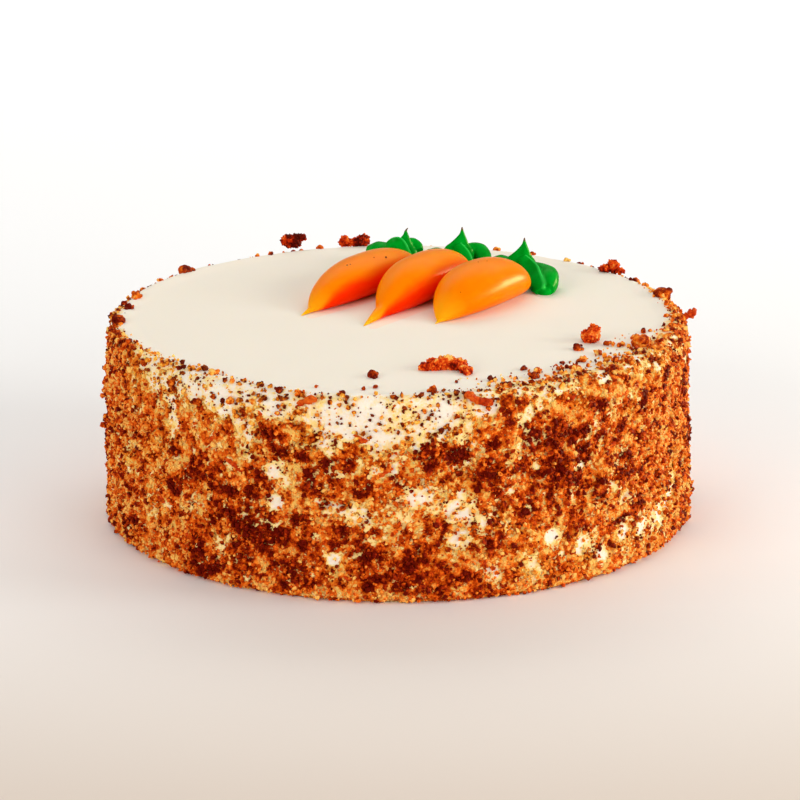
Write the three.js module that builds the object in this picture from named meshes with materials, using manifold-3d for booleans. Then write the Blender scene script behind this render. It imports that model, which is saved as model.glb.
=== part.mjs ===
// Round carrot cake: white frosting, a coat of cake crumbs pressed on its side, larger crumbs
// lying on top and three carrots piped in orange icing with green tops.
// Millimetres, +Z up. The origin is the centre of the flat underside, and -Y is the front.

import * as THREE from 'three'
import { mergeVertices } from 'three/addons/utils/BufferGeometryUtils.js'
import Module from 'manifold-3d'

const wasm = await Module()
wasm.setup()

// Driving dimensions of the cake
const CAKE_RADIUS = 104
const CAKE_HEIGHT = 72
const FOOT_FLARE = 1.5
const FOOT_CHAMFER = 1.5
const RIM_ROUNDING = 4
const RIM_LIP = 0.6
const RIM_LIP_WIDTH = 7
const COAT_DEPTH = 2.4

// Facets of the cake
const AROUND = 96
const SIDE_ROWS = 10
const RIM_STEPS = 3

// Clear space between two solids that touch in the real cake
const GAP = 0.3

// Lumps of crumb that are fused to the side: spread all over it, and in clumps
const CRUMB_SEED = 7
const SPREAD_CRUMBS = 70
const SPREAD_SIZE = [6.4, 3.6]
const CLUSTER_CRUMBS = 4
const CLUSTER_CRUMB_SIZE = [6.8, 4.4]
const LOWEST_CRUMB = 4.5
const CRUMB_SEAT = 0.12
const GOLDEN_TURN = 137.508
const GOLDEN_SHARE = 0.618034

// How uneven the coat and its crumbs are, as ranges of a share
const COAT_BUMPS = [0.15, 1.0]
const CRUMB_CORNERS = [0.78, 1.15]
const CRUMB_WIDTH = [0.7, 1.0]
const CRUMB_THICKNESS = [0.6, 0.9]
const LARGE_CRUMB_CORNERS = [0.88, 1.1]

// Clumps of toasted crumbs on the front half: angle from the front in degrees, positive to
// the right, height above the table, and how far the clump reaches
const CLUMPS = [
  { angle: -56, height: 44, reach: 6 },
  { angle: -45, height: 34, reach: 6 },
  { angle: -30, height: 24, reach: 7 },
  { angle: -22, height: 55, reach: 5 },
  { angle: -14, height: 34, reach: 6 },
  { angle: -1, height: 15, reach: 9 },
  { angle: 7, height: 50, reach: 4 },
  { angle: 19, height: 47, reach: 6 },
  { angle: 17, height: 22, reach: 5 },
  { angle: 31, height: 44, reach: 7 },
  { angle: 44, height: 34, reach: 7 },
  { angle: 61, height: 64, reach: 4 },
]

// Loose crumbs that are fused to the top and the rim: x, y and size
const LOOSE_CRUMBS = [
  [-77, 66, 5.5], [-89, 50, 3.0], [-96.5, 24.5, 5.0], [-98.5, 9.3, 3.6], [-100.5, -8, 6.0],
  [-101, -19, 3.2], [-95, -34, 3.2], [-88.5, -54, 3.6], [-63.5, -74, 4.2], [-40, -93.5, 3.6],
  [-33, -96.5, 3.4], [-18.8, -98.3, 3.0], [-8.6, -77.3, 5.0], [11.9, -95.7, 4.4],
  [36.8, -89.8, 4.2], [43.2, -68.2, 3.0], [48, -71.2, 3.4], [46.7, -77.9, 3.8],
  [63.1, -43.3, 4.2], [73.9, -36.9, 3.0], [64.5, -57.7, 3.6], [62.5, -71.2, 4.0],
  [87.7, -21.4, 3.0], [86.7, -38.2, 7.5], [88.7, -52.1, 3.2], [102.5, -1.5, 5.5],
  [97.7, 28, 7.5], [89, 52, 4.0], [99.8, 16.2, 3.2], [64.5, 78, 3.6], [51.5, 87, 3.6],
  [38, 95, 4.0], [-49, 88, 3.0], [-30, 97, 3.4],
]

// Large crumbs on top, each from lumps: middle x, y and height above the frosting, then half
// the length, width and height of the lump
const LARGE_CRUMBS = [
  [
    [9.7, -68.4, 1.0, 2.6, 1.6, 1.6], [12.7, -67.6, 1.6, 3.3, 2.5, 2.5],
    [16.8, -66.4, 2.0, 3.7, 3.0, 2.9], [20.9, -68.0, 1.6, 3.2, 2.9, 2.5],
    [23.8, -72.4, 1.1, 2.3, 3.4, 1.8],
  ],
  [
    [68.3, -32.4, 2.0, 3.6, 3.4, 2.8], [69.4, -31.8, 4.2, 2.2, 2.0, 2.1],
  ],
  [
    [-42.6, 97.0, 3.0, 2.8, 2.0, 2.9], [-40.0, 97.2, 2.7, 2.8, 2.1, 2.7],
    [-37.6, 97.4, 4.2, 2.1, 1.5, 1.5],
  ],
  [
    [-20.6, 100.8, 1.6, 2.6, 2.0, 2.2], [-17.2, 101.0, 1.3, 2.6, 1.9, 1.8],
    [-13.8, 101.0, 2.0, 2.7, 2.2, 2.6],
  ],
  [
    [78.3, 62.4, 1.0, 2.6, 1.8, 1.6], [81.7, 62.6, 2.0, 2.3, 2.2, 2.6],
    [84.3, 60.2, 0.8, 1.7, 1.5, 1.2],
  ],
]

// Piped carrots: middle of the thick end, tip, half width, height, sideways bow, and where the
// body ends in its thin pulled tail, as a share of the length
const CARROTS = [
  { butt: [4.2, 62.5], tip: [-35, 1.5], halfWidth: 10.8, height: 13.7, bow: 0.0, tailFrom: 0.93 },
  { butt: [23, 56], tip: [-12.2, -12.5], halfWidth: 10.8, height: 15.7, bow: -0.5, tailFrom: 0.83 },
  { butt: [43.8, 38.2], tip: [13.5, -9.5], halfWidth: 12.4, height: 16.0, bow: -1.0, tailFrom: 0.96 },
]
const CARROT_WIDEST_AT = 0.43
const CARROT_BUTT = 3.0
const CARROT_TAPER = 2.0
const CARROT_BLUNTNESS = 0.8
const CARROT_ROUNDNESS = 0.85
const CARROT_LEVEL = 0.42
const BUTT_DROP = 0.12
const CARROT_ARC = [-0.33, 1.33]
const CARROT_TUCK = 1.16
const TAIL_SLOPE = 0.17
const TAIL_GIRTH = 0.22
const TAIL_BLEND = 3
const CARROT_RINGS = 12
const CARROT_SIDES = 14
const FIRST_RING = 0.006
const RING_CROWDING = 0.92

// Green tops piped across the thick ends: foot of the spike, heights of the spike and of the
// trail above the frosting, how far the tip bends to the right, and where the trail starts as an
// x, y offset from the spike; then the ridge in front and the bulb behind it, as x, y, height
// above the frosting and radius along each
const TOPS = [
  { at: [3, 69], spike: 15.8, bend: 0.8, trail: 8.6, trailStart: [-14, 13],
    ridge: [
      [-3.4, 67.1, 8.6, 2.2], [-1.4, 66.6, 10.2, 2.4], [0.2, 65.6, 10.2, 2.5],
      [1.6, 64.6, 8.6, 2.4], [3.6, 63.3, 6.0, 1.8],
    ],
    bulb: [
      [3.8, 70.6, 9.4, 2.0], [5.6, 71.6, 8.8, 2.4], [7.2, 71.3, 7.6, 2.4], [7.9, 70.3, 6.4, 1.9],
    ] },
  { at: [24.2, 60], spike: 18.4, bend: 0, trail: 7.2, trailStart: [-12.5, 19],
    ridge: [
      [22.4, 58.2, 11.4, 1.8], [23.4, 57.0, 10.2, 2.3], [24.6, 56.0, 8.2, 2.7],
      [26.3, 54.8, 5.0, 2.4], [27.3, 53.8, 3.2, 1.6],
    ],
    bulb: [
      [25.4, 62.4, 8.6, 2.4], [28.6, 64.2, 8.4, 2.9], [31.0, 63.8, 7.8, 3.2],
      [32.4, 61.2, 6.6, 3.0], [32.8, 57.5, 5.2, 2.3],
    ] },
  { at: [47.3, 48.5], spike: 17.2, bend: 0, trail: 7.6, trailStart: [-11, 18],
    ridge: [
      [46.2, 45.2, 10.0, 2.0], [47.8, 43.4, 8.4, 2.6], [50.2, 39.8, 6.3, 3.0],
      [51.4, 35.4, 4.2, 3.0], [52.6, 31.8, 2.4, 2.6], [52.8, 30.4, 1.4, 2.2],
    ],
    bulb: [
      [49.8, 47.8, 6.6, 1.8], [53.0, 44.6, 5.6, 3.0], [56.0, 40.6, 4.8, 3.7],
      [56.2, 36.5, 4.2, 3.7], [56.0, 33.4, 3.2, 3.3], [55.4, 30.9, 2.2, 2.6],
    ] },
]
// Spike from its apex to its foot: drop below the apex, and its reach to the left, to the right
// and to the front and back
const SPIKE_DROPS = [0, 1.2, 2.6, 4.6, 6.4, 7.6, 10]
const SPIKE_LEFT = [0.25, 0.5, 1, 2.7, 4.7, 6.2, 7]
const SPIKE_RIGHT = [0.25, 0.5, 1, 1.8, 2.5, 3.3, 4.5]
const SPIKE_DEPTH = [0.25, 0.5, 1, 1.4, 1.8, 2.2, 2.8]
const SPIKE_SIDES = 12
const RIDGE_CREST = { pinch: 2.4, lean: 0.5 }
const TRAIL_LEVEL = 0.46
const TRAIL_RADII = [0.22, 0.46, 0.5, 0.5]
const FOOT_FULLNESS = 0.5
const BEAD_SIDES = 8
const BEAD_RINGS = 6

const ORANGE_ICING = new THREE.MeshStandardMaterial({ color: 0xff8a1c, roughness: 0.35 })
const GREEN_ICING = new THREE.MeshStandardMaterial({ color: 0x0ea83a, roughness: 0.35 })
const CRUMBED_FROSTING = new THREE.MeshStandardMaterial({ color: 0xe6b27c, roughness: 0.8 })
const TOASTED_CRUMB = new THREE.MeshStandardMaterial({ color: 0x9a4a20, roughness: 0.9 })

// Repeatable random numbers from 0 to 1
function randomFrom(seed) {
  let state = seed >>> 0
  return () => {
    state = (state + 0x6d2b79f5) >>> 0
    let t = state
    t = Math.imul(t ^ (t >>> 15), t | 1)
    t ^= t + Math.imul(t ^ (t >>> 7), t | 61)
    return ((t ^ (t >>> 14)) >>> 0) / 4294967296
  }
}

function mix(a, b, share) {
  return a + (b - a) * share
}

// A closed geometry as a solid that can be joined and cut
function toSolid(geometry) {
  const bare = geometry.clone()
  bare.deleteAttribute('normal')
  bare.deleteAttribute('uv')
  const merged = mergeVertices(bare, 1e-3)
  return new wasm.Manifold(new wasm.Mesh({
    numProp: 3,
    vertProperties: new Float32Array(merged.attributes.position.array),
    triVerts: new Uint32Array(merged.index.array),
  }))
}

function toGeometry(solid) {
  const mesh = solid.getMesh()
  const geometry = new THREE.BufferGeometry()
  geometry.setAttribute('position', new THREE.BufferAttribute(new Float32Array(mesh.vertProperties), 3))
  geometry.setIndex(new THREE.BufferAttribute(new Uint32Array(mesh.triVerts), 1))
  geometry.computeVertexNormals()
  return geometry
}

// The largest connected piece, without sealed hollows or loose scraps
function mainPiece(solid) {
  const pieces = solid.decompose()
  return pieces.reduce((best, piece) => (piece.volume() > best.volume() ? piece : best))
}

// Skin over closed rings of equally many points, with a fan over each end
function skin(rings) {
  const sides = rings[0].length
  const points = rings.flat()
  const faces = []
  for (let i = 0; i + 1 < rings.length; i++) {
    for (let j = 0; j < sides; j++) {
      const a = i * sides + j
      const b = i * sides + (j + 1) % sides
      faces.push(a, b, a + sides, b, b + sides, a + sides)
    }
  }
  const capEnd = (first, flipped) => {
    const centre = points.length
    const ring = points.slice(first, first + sides)
    points.push(ring.reduce((sum, p) => sum.add(p), new THREE.Vector3()).divideScalar(sides))
    for (let j = 0; j < sides; j++) {
      const a = first + j
      const b = first + (j + 1) % sides
      faces.push(...(flipped ? [centre, a, b] : [centre, b, a]))
    }
  }
  capEnd(0, false)
  capEnd((rings.length - 1) * sides, true)
  const geometry = new THREE.BufferGeometry().setFromPoints(points)
  geometry.setIndex(faces)
  return geometry
}

// ---------------------------------------------------------------- cake

// A place as x, y on a circle round the cake's axis, by its angle from the front
function onCircle(angle, radius) {
  const turn = THREE.MathUtils.degToRad(angle)
  return [radius * Math.sin(turn), -radius * Math.cos(turn)]
}

// Radius of the frosted side at a height: it widens a little towards the foot
function sideRadius(height) {
  return CAKE_RADIUS + FOOT_FLARE * (1 - height / CAKE_HEIGHT) ** 2
}

// The crumb-coated drum: a turned profile whose side is roughened ring by ring
function cakeDrum() {
  const profile = [
    new THREE.Vector2(0, 0),
    new THREE.Vector2(sideRadius(0) - FOOT_CHAMFER, 0),
  ]
  const sideTop = CAKE_HEIGHT - RIM_ROUNDING
  for (let i = 0; i <= SIDE_ROWS; i++) {
    const height = mix(FOOT_CHAMFER, sideTop, i / SIDE_ROWS)
    profile.push(new THREE.Vector2(sideRadius(height), height))
  }
  for (let i = 1; i <= RIM_STEPS; i++) {
    const turn = (i / RIM_STEPS) * Math.PI / 2
    profile.push(new THREE.Vector2(
      CAKE_RADIUS - RIM_ROUNDING * (1 - Math.cos(turn)),
      sideTop + (RIM_ROUNDING + RIM_LIP) * Math.sin(turn)))
  }
  profile.push(new THREE.Vector2(CAKE_RADIUS - RIM_ROUNDING - RIM_LIP_WIDTH, CAKE_HEIGHT))
  profile.push(new THREE.Vector2(0, CAKE_HEIGHT))

  const lathe = new THREE.LatheGeometry(profile, AROUND)
  lathe.deleteAttribute('normal')
  lathe.deleteAttribute('uv')
  const drum = mergeVertices(lathe, 1e-3)
  const random = randomFrom(CRUMB_SEED)
  const position = drum.attributes.position
  for (let i = 0; i < position.count; i++) {
    // the lathe turns round Y, so its height is y here
    const height = position.getY(i)
    const bump = COAT_DEPTH * mix(...COAT_BUMPS, random())
    if (height < FOOT_CHAMFER / 2 || height > sideTop + 1) continue
    const x = position.getX(i)
    const z = position.getZ(i)
    const grow = 1 + bump / Math.hypot(x, z)
    position.setXYZ(i, x * grow, height, z * grow)
  }
  drum.rotateX(Math.PI / 2)
  return toSolid(drum)
}

// A faceted ball whose corners are pushed in and out by chance
function roughBall(detail, corners, random) {
  const ball = new THREE.IcosahedronGeometry(1, detail)
  ball.deleteAttribute('normal')
  ball.deleteAttribute('uv')
  const rough = mergeVertices(ball, 1e-3)
  const position = rough.attributes.position
  for (let i = 0; i < position.count; i++) {
    const push = mix(...corners, random())
    position.setXYZ(i, position.getX(i) * push, position.getY(i) * push, position.getZ(i) * push)
  }
  return rough
}

// One rough crumb: a twenty-sided grain pushed in and out at its corners, squashed and turned
function crumb(centre, size, random) {
  const grain = roughBall(0, CRUMB_CORNERS, random)
  const half = size / 2
  grain.scale(half, half * mix(...CRUMB_WIDTH, random()), half * mix(...CRUMB_THICKNESS, random()))
  grain.rotateX(random() * Math.PI)
  grain.rotateZ(random() * Math.PI)
  grain.translate(...centre)
  return toSolid(grain)
}

// Height of the frosting at a place on top: it falls away over the rounded rim
function topLevel(x, y) {
  const inward = CAKE_RADIUS - Math.hypot(x, y)
  const over = Math.max(0, RIM_ROUNDING - inward)
  return CAKE_HEIGHT - RIM_ROUNDING + Math.sqrt(Math.max(0, RIM_ROUNDING ** 2 - over ** 2))
}

// Middles and sizes of all crumbs that are fused to the cake
function fusedCrumbs(random) {
  const crumbs = []
  const onSide = (angle, height, size) => {
    const [x, y] = onCircle(angle, sideRadius(height) + size * CRUMB_SEAT)
    crumbs.push({ centre: [x, y, height], size })
  }
  const highest = CAKE_HEIGHT - RIM_ROUNDING - 1

  for (const { angle, height, reach } of CLUMPS) {
    for (let i = 0; i < CLUSTER_CRUMBS; i++) {
      const turn = (i / CLUSTER_CRUMBS + random() * 0.15) * 2 * Math.PI
      const away = reach * mix(0.55, 1, random())
      const aside = THREE.MathUtils.radToDeg(away * Math.cos(turn) / CAKE_RADIUS)
      const size = mix(...CLUSTER_CRUMB_SIZE, random())
      onSide(angle + aside, Math.max(LOWEST_CRUMB, height + away * Math.sin(turn)), size)
    }
  }
  for (let i = 0; i < SPREAD_CRUMBS; i++) {
    const height = mix(LOWEST_CRUMB, highest, (i * GOLDEN_SHARE * 1.37 + random() * 0.05) % 1)
    onSide(i * GOLDEN_TURN + random() * 6, height, mix(...SPREAD_SIZE, i / SPREAD_CRUMBS))
  }
  for (const [x, y, size] of LOOSE_CRUMBS) {
    crumbs.push({ centre: [x, y, topLevel(x, y) + size * CRUMB_SEAT], size })
  }
  return crumbs
}

function cake() {
  const random = randomFrom(CRUMB_SEED + 1)
  const grains = fusedCrumbs(random).map(({ centre, size }) => crumb(centre, size, random))
  const joined = wasm.Manifold.union([cakeDrum(), ...grains])
  const aboveTable = new THREE.BoxGeometry(3 * CAKE_RADIUS, 3 * CAKE_RADIUS, 2 * CAKE_HEIGHT)
  aboveTable.translate(0, 0, CAKE_HEIGHT)
  return mainPiece(joined.intersect(toSolid(aboveTable)))
}

// Everything above the frosting, from a gap over it; the lip of the rim is higher
function aboveFrosting(lip = 0) {
  const space = new THREE.BoxGeometry(3 * CAKE_RADIUS, 3 * CAKE_RADIUS, CAKE_HEIGHT)
  space.translate(0, 0, CAKE_HEIGHT * 1.5 + lip + GAP)
  return toSolid(space)
}

// ---------------------------------------------------------------- large crumbs

// A lumpy crumb that lies on the frosting, cut flat where it rests
function largeCrumb(lumps, random) {
  const onRim = lumps.some(([x, y, , length]) =>
    Math.hypot(x, y) + length > CAKE_RADIUS - RIM_ROUNDING - RIM_LIP_WIDTH)
  const rest = onRim ? RIM_LIP : 0
  const parts = lumps.map(([x, y, level, ...half]) => {
    const lump = roughBall(1, LARGE_CRUMB_CORNERS, random)
    lump.scale(...half)
    lump.translate(x, y, CAKE_HEIGHT + rest + level)
    return toSolid(lump)
  })
  return mainPiece(wasm.Manifold.union(parts).intersect(aboveFrosting(rest)))
}

// ---------------------------------------------------------------- piped carrots

// Share of the full width along a carrot: blunt at the thick end, ending in a pulled tail
function carrotGirth(share, { halfWidth, tailFrom }, length) {
  if (share < CARROT_WIDEST_AT) {
    return (1 - (1 - share / CARROT_WIDEST_AT) ** CARROT_BUTT) ** (1 / CARROT_BUTT)
  }
  const run = Math.min(1, (share - CARROT_WIDEST_AT) / (tailFrom - CARROT_WIDEST_AT))
  const body = (1 - run ** CARROT_TAPER) ** CARROT_BLUNTNESS
  const tail = Math.min(TAIL_GIRTH, TAIL_SLOPE * (1.01 - share) * length / halfWidth)
  return Math.min(1, (body ** TAIL_BLEND + tail ** TAIL_BLEND) ** (1 / TAIL_BLEND))
}

// A bead of icing: round above, tucked in below, flat where it lies on the frosting
function pipedCarrot(row, grow = 0) {
  const { butt, tip, halfWidth, height, bow } = row
  const start = new THREE.Vector2(...butt)
  const run = new THREE.Vector2(...tip).sub(start)
  const length = run.length()
  const along = run.clone().normalize()
  const aside = new THREE.Vector2(-along.y, along.x)
  const rings = []
  for (let i = 0; i <= CARROT_RINGS; i++) {
    const even = i / CARROT_RINGS
    const spaced = 1 - Math.cos(even * Math.PI / 2) * mix(1, RING_CROWDING, even)
    const share = mix(FIRST_RING, 1, spaced)
    const girth = carrotGirth(share, row, length)
    const wide = halfWidth * girth + grow
    const drop = Math.max(0, 1 - share / CARROT_WIDEST_AT) ** 2 * BUTT_DROP
    const high = height * (girth ** CARROT_ROUNDNESS - drop * girth) + grow
    const middle = start.clone()
      .addScaledVector(along, length * share + grow * mix(-1, 1, share))
      .addScaledVector(aside, bow * Math.sin(Math.PI * share))
    const level = CARROT_LEVEL * high
    const ring = []
    for (let j = 0; j < CARROT_SIDES; j++) {
      const turn = mix(...CARROT_ARC, j / (CARROT_SIDES - 1)) * Math.PI
      const across = wide * Math.cos(turn)
      const up = Math.sin(turn) > 0
        ? level + (high - level) * Math.sin(turn)
        : Math.max(0, level * (1 + CARROT_TUCK * Math.sin(turn)))
      ring.push(new THREE.Vector3(
        middle.x + aside.x * across,
        middle.y + aside.y * across,
        CAKE_HEIGHT + GAP + up))
    }
    rings.push(ring)
  }
  const solid = toSolid(skin(rings))
  return solid.volume() < 0 ? toSolid(skin(rings.map((ring) => ring.reverse()))) : solid
}

// ---------------------------------------------------------------- green tops

// A bead of icing whose thickness changes along a smooth path; it is drawn out below its middle,
// down to the frosting, and its crest can be pinched and lean to a side
function bead(points, radii, { pinch = 1, lean = 0 } = {}) {
  const path = new THREE.CatmullRomCurve3(points)
  const rings = []
  for (let i = 0; i <= BEAD_RINGS; i++) {
    const share = i / BEAD_RINGS
    const place = share * (radii.length - 1)
    const from = Math.min(Math.floor(place), radii.length - 2)
    const radius = mix(radii[from], radii[from + 1], place - from)
    const middle = path.getPoint(share)
    const tangent = path.getTangent(share)
    const level = new THREE.Vector3(0, 0, 1).cross(tangent).normalize()
    const upright = tangent.clone().cross(level)
    const ring = []
    for (let j = 0; j < BEAD_SIDES; j++) {
      const turn = (j / BEAD_SIDES) * 2 * Math.PI
      const aside = Math.cos(turn)
      const up = Math.sin(turn)
      const point = middle.clone()
      const across = (power) => radius * Math.sign(aside) * Math.abs(aside) ** power
      if (up < 0) {
        point.addScaledVector(level, across(FOOT_FULLNESS))
        point.z += (middle.z - CAKE_HEIGHT) * up
      } else {
        point.addScaledVector(level, across(pinch) + radius * lean * up)
        point.addScaledVector(upright, radius * up)
      }
      ring.push(point)
    }
    rings.push(ring)
  }
  return toSolid(skin(rings))
}

// One stroke of a star tip: a low trail, a ridge in front of a bulb, and a spike where it lifted
function greenTop({ at, spike, bend, trail, trailStart, ridge, bulb }) {
  const above = (acrossX, alongY, up) => new THREE.Vector3(acrossX, alongY, CAKE_HEIGHT + up)
  const stroke = (rows, crest) =>
    bead(rows.map((row) => above(...row)), rows.map((row) => row[3]), crest)
  const [x, y] = at
  const trailAt = (share) => above(
    x + trailStart[0] * (1 - share),
    y + trailStart[1] * (1 - share),
    trail * TRAIL_LEVEL)
  const trailBead = bead(
    [trailAt(0), trailAt(0.35), trailAt(0.9)], TRAIL_RADII.map((radius) => radius * trail))
  const spikeRing = (drop, i) =>
    Array.from({ length: SPIKE_SIDES }, (_, j) => {
      const turn = (j / SPIKE_SIDES) * 2 * Math.PI
      const middle = (i ? 0 : bend) + (SPIKE_RIGHT[i] - SPIKE_LEFT[i]) / 2
      const across = middle + (SPIKE_RIGHT[i] + SPIKE_LEFT[i]) / 2 * Math.cos(turn)
      return above(x + across, y + SPIKE_DEPTH[i] * Math.sin(turn), spike - drop)
    })
  const spikeRings = [...SPIKE_DROPS.map(spikeRing), spikeRing(spike, SPIKE_DROPS.length - 1)]
  const spikeSolid = toSolid(skin(spikeRings.reverse()))
  return wasm.Manifold.union([trailBead, stroke(ridge, RIDGE_CREST), stroke(bulb), spikeSolid])
}

// ---------------------------------------------------------------- assembly

const model = new THREE.Group()

function addPiece(name, solid, material) {
  const mesh = new THREE.Mesh(toGeometry(solid), material)
  mesh.name = name
  model.add(mesh)
}

addPiece('cake', cake(), CRUMBED_FROSTING)

LARGE_CRUMBS.forEach((lumps, i) => {
  addPiece(`large_crumb_${i + 1}`, largeCrumb(lumps, randomFrom(CRUMB_SEED + 10 + i)), TOASTED_CRUMB)
})

CARROTS.forEach((row, i) => {
  addPiece(`piped_carrot_${i + 1}`, pipedCarrot(row), ORANGE_ICING)
})

TOPS.forEach((row, i) => {
  const keepClear = CARROTS.map((carrot) => pipedCarrot(carrot, GAP))
  const stroke = greenTop(row).intersect(aboveFrosting())
  addPiece(`green_top_${i + 1}`, mainPiece(stroke.subtract(wasm.Manifold.union(keepClear))), GREEN_ICING)
})

export default model
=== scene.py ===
"""Round carrot cake: white frosting, a coat of cake crumbs on its side, larger crumbs on its top
and three carrots piped in orange icing with green tops.

Sizes are millimetres until a mesh is made, which is in metres. +Z is up, the front is -Y, and
angles round the cake run from the front, positive to the right.
"""

import math

import bpy
import numpy as np
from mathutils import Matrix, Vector, noise


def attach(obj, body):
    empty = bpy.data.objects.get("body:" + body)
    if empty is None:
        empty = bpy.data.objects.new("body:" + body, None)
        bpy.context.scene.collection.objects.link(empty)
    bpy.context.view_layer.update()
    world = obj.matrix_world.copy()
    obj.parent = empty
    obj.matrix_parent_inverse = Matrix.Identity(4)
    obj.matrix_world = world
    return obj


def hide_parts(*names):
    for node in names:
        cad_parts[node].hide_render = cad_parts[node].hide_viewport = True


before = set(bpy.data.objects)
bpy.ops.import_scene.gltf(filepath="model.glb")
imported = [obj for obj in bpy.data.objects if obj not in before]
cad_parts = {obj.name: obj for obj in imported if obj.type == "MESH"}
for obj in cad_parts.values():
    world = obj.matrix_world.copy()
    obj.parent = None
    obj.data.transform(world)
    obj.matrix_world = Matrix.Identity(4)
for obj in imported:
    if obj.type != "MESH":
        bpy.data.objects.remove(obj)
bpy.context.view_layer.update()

MM = 0.001

# Driving dimensions of the cake
CAKE_RADIUS = 104
CAKE_HEIGHT = 72
FOOT_FLARE = 1.5
FOOT_CHAMFER = 1.5
RIM_ROUNDING = 4
RIM_LIP = 0.6
RIM_LIP_WIDTH = 7

# Mesh of the frosting: columns round the cake, rows up the side, steps over the rim
BODY_COLUMNS = 720
SIDE_ROWS = 84
RIM_STEPS = 7
LIP_STEPS = 7
TOP_STEPS = 14

# Relief of the frosting: size and depths of the grains of the crumb bed, and size of the broad
# waves with their depth on the side, then on top with that of the small lumps there
BED_GRAIN = 2.4
BED_DEPTH = (0.25, 0.95)
WAVE_SIZE = 14
SIDE_WAVE = 0.45
TOP_WAVE = 0.16
TOP_LUMP = (5, 0.12)

# Lumps of crumb under the coat, as they are fused to the solid
CRUMB_SEED = 7
LUMP_SEED = CRUMB_SEED + 1
COARSE_SEED = CRUMB_SEED + 3
SHRED_SEED = CRUMB_SEED + 5
PATCH_SEED = CRUMB_SEED + 40
SPREAD_CRUMBS = 70
SPREAD_SIZE = (6.4, 3.6)
CLUSTER_CRUMBS = 4
CLUSTER_CRUMB_SIZE = (6.8, 4.4)
LOWEST_CRUMB = 4.5
CRUMB_SEAT = 0.12
# Reach and height of the bulge that such a lump makes, in shares of its size
LUMP_SPREAD = 0.62
LUMP_RELIEF = 0.36
GOLDEN_TURN = 137.508
GOLDEN_SHARE = 0.618034

# Loose crumbs on the top and the rim: x, y, size, and tone from 0 for golden to 1 for darkest
LOOSE_CRUMBS = (
    (-80.5, 62.5, 6.5, 0.9), (-89, 50, 3.0, 0.35), (-96.5, 24.5, 5.0, 0.6), (-98.5, 9.3, 4.6, 0.85),
    (-100.5, -8, 6.0, 0.9), (-101, -19, 4.0, 0.9), (-95, -34, 3.2, 0.9), (-88.5, -54, 3.6, 0.65),
    (-63.5, -74, 4.2, 0.3), (-40, -93.5, 3.6, 0.8), (-33, -96.5, 3.4, 0.7),
    (-18.8, -98.3, 3.0, 0.75), (-8.6, -77.3, 5.0, 0.85), (11.9, -95.7, 4.4, 0.75),
    (36.8, -89.8, 4.2, 0.85), (43.2, -68.2, 3.0, 0.75), (48, -71.2, 3.4, 0.4),
    (46.7, -77.9, 3.8, 0.75), (63.1, -43.3, 4.2, 0.75), (73.9, -36.9, 3.0, 0.75),
    (64.5, -57.7, 3.6, 0.75), (62.5, -71.2, 4.0, 0.35), (87.7, -21.4, 3.0, 0.9),
    (86.7, -38.2, 8.4, 0.55), (88.7, -52.1, 3.2, 0.9), (102.5, -1.5, 5.5, 0.5),
    (97.7, 28, 7.5, 0.75), (89, 52, 4.0, 0.5), (99.8, 16.2, 3.2, 0.7), (64.5, 78, 3.6, 0.15),
    (51.5, 87, 3.6, 0.5), (38, 95, 4.0, 0.6), (-49, 88, 3.0, 0.65), (-30, 97, 3.4, 0.75),
)

# Smaller ones, which the solid does not have
SMALL_LOOSE_CRUMBS = (
    (-94, -44, 2.4, 0.85), (-85, -50, 2.0, 0.2), (-80, -58, 2.2, 0.2), (-75.5, -67.5, 2.6, 0.9),
    (-71, -68, 2.8, 0.4), (-56.6, -83.9, 2.6, 0.15), (-27.7, -90, 1.8, 0.7),
    (-7.5, -89.8, 2.0, 0.85), (-11.5, -92.2, 2.0, 0.7), (51.9, -81.5, 2.6, 0.8),
    (78, -39.5, 2.6, 0.35), (69.6, -47.7, 2.6, 0.2), (72.2, -52.7, 2.6, 0.25),
    (70.3, -68.8, 2.6, 0.6), (69.9, 74.3, 2.2, 0.8), (-54, 85.5, 2.4, 0.65),
    (-72, 72, 1.6, 0.8), (20, -84, 1.6, 0.7), (57, -61, 1.6, 0.8), (29, 98, 1.8, 0.7),
    (-24.2, 100.4, 2.0, 0.9), (-46.6, 94.2, 2.2, 0.25), (86.6, 56.4, 1.8, 0.5),
    (32, -83, 1.5, 0.3), (58.5, -66, 2.0, 0.7), (75, -58, 2.2, 0.4), (81, -50, 2.4, 0.3),
    (83, -30, 2.0, 0.6), (54, -74, 2.0, 0.3), (66, -64, 1.8, 0.75), (40, -80, 1.6, 0.2),
    (-43.8, 93.4, 2.6, 0.3), (-40.6, 94.6, 3.0, 0.8), (-37.6, 95.6, 2.8, 0.85),
)

# Crumbs that stand out on the upper side: angle, height, size and tone
SIDE_CRUMBS = (
    (-48, 68, 3.5, 0.85), (-41, 64, 4.0, 0.85), (-37, 67, 2.8, 0.8), (-33, 67, 4.0, 0.25),
    (-28, 68, 3.0, 0.3), (-23, 65, 2.6, 0.7), (-19, 68, 2.0, 0.8), (-9, 69, 2.0, 0.85),
    (-3, 66, 1.8, 0.3), (5, 68, 2.2, 0.3), (11, 66, 2.4, 0.75), (17, 68, 2.6, 0.35),
    (26, 69, 2.2, 0.75), (33, 68, 2.6, 0.3), (39, 66, 3.0, 0.75), (47, 69, 2.4, 0.3),
    (61, 64, 5.0, 0.8),
)

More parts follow.
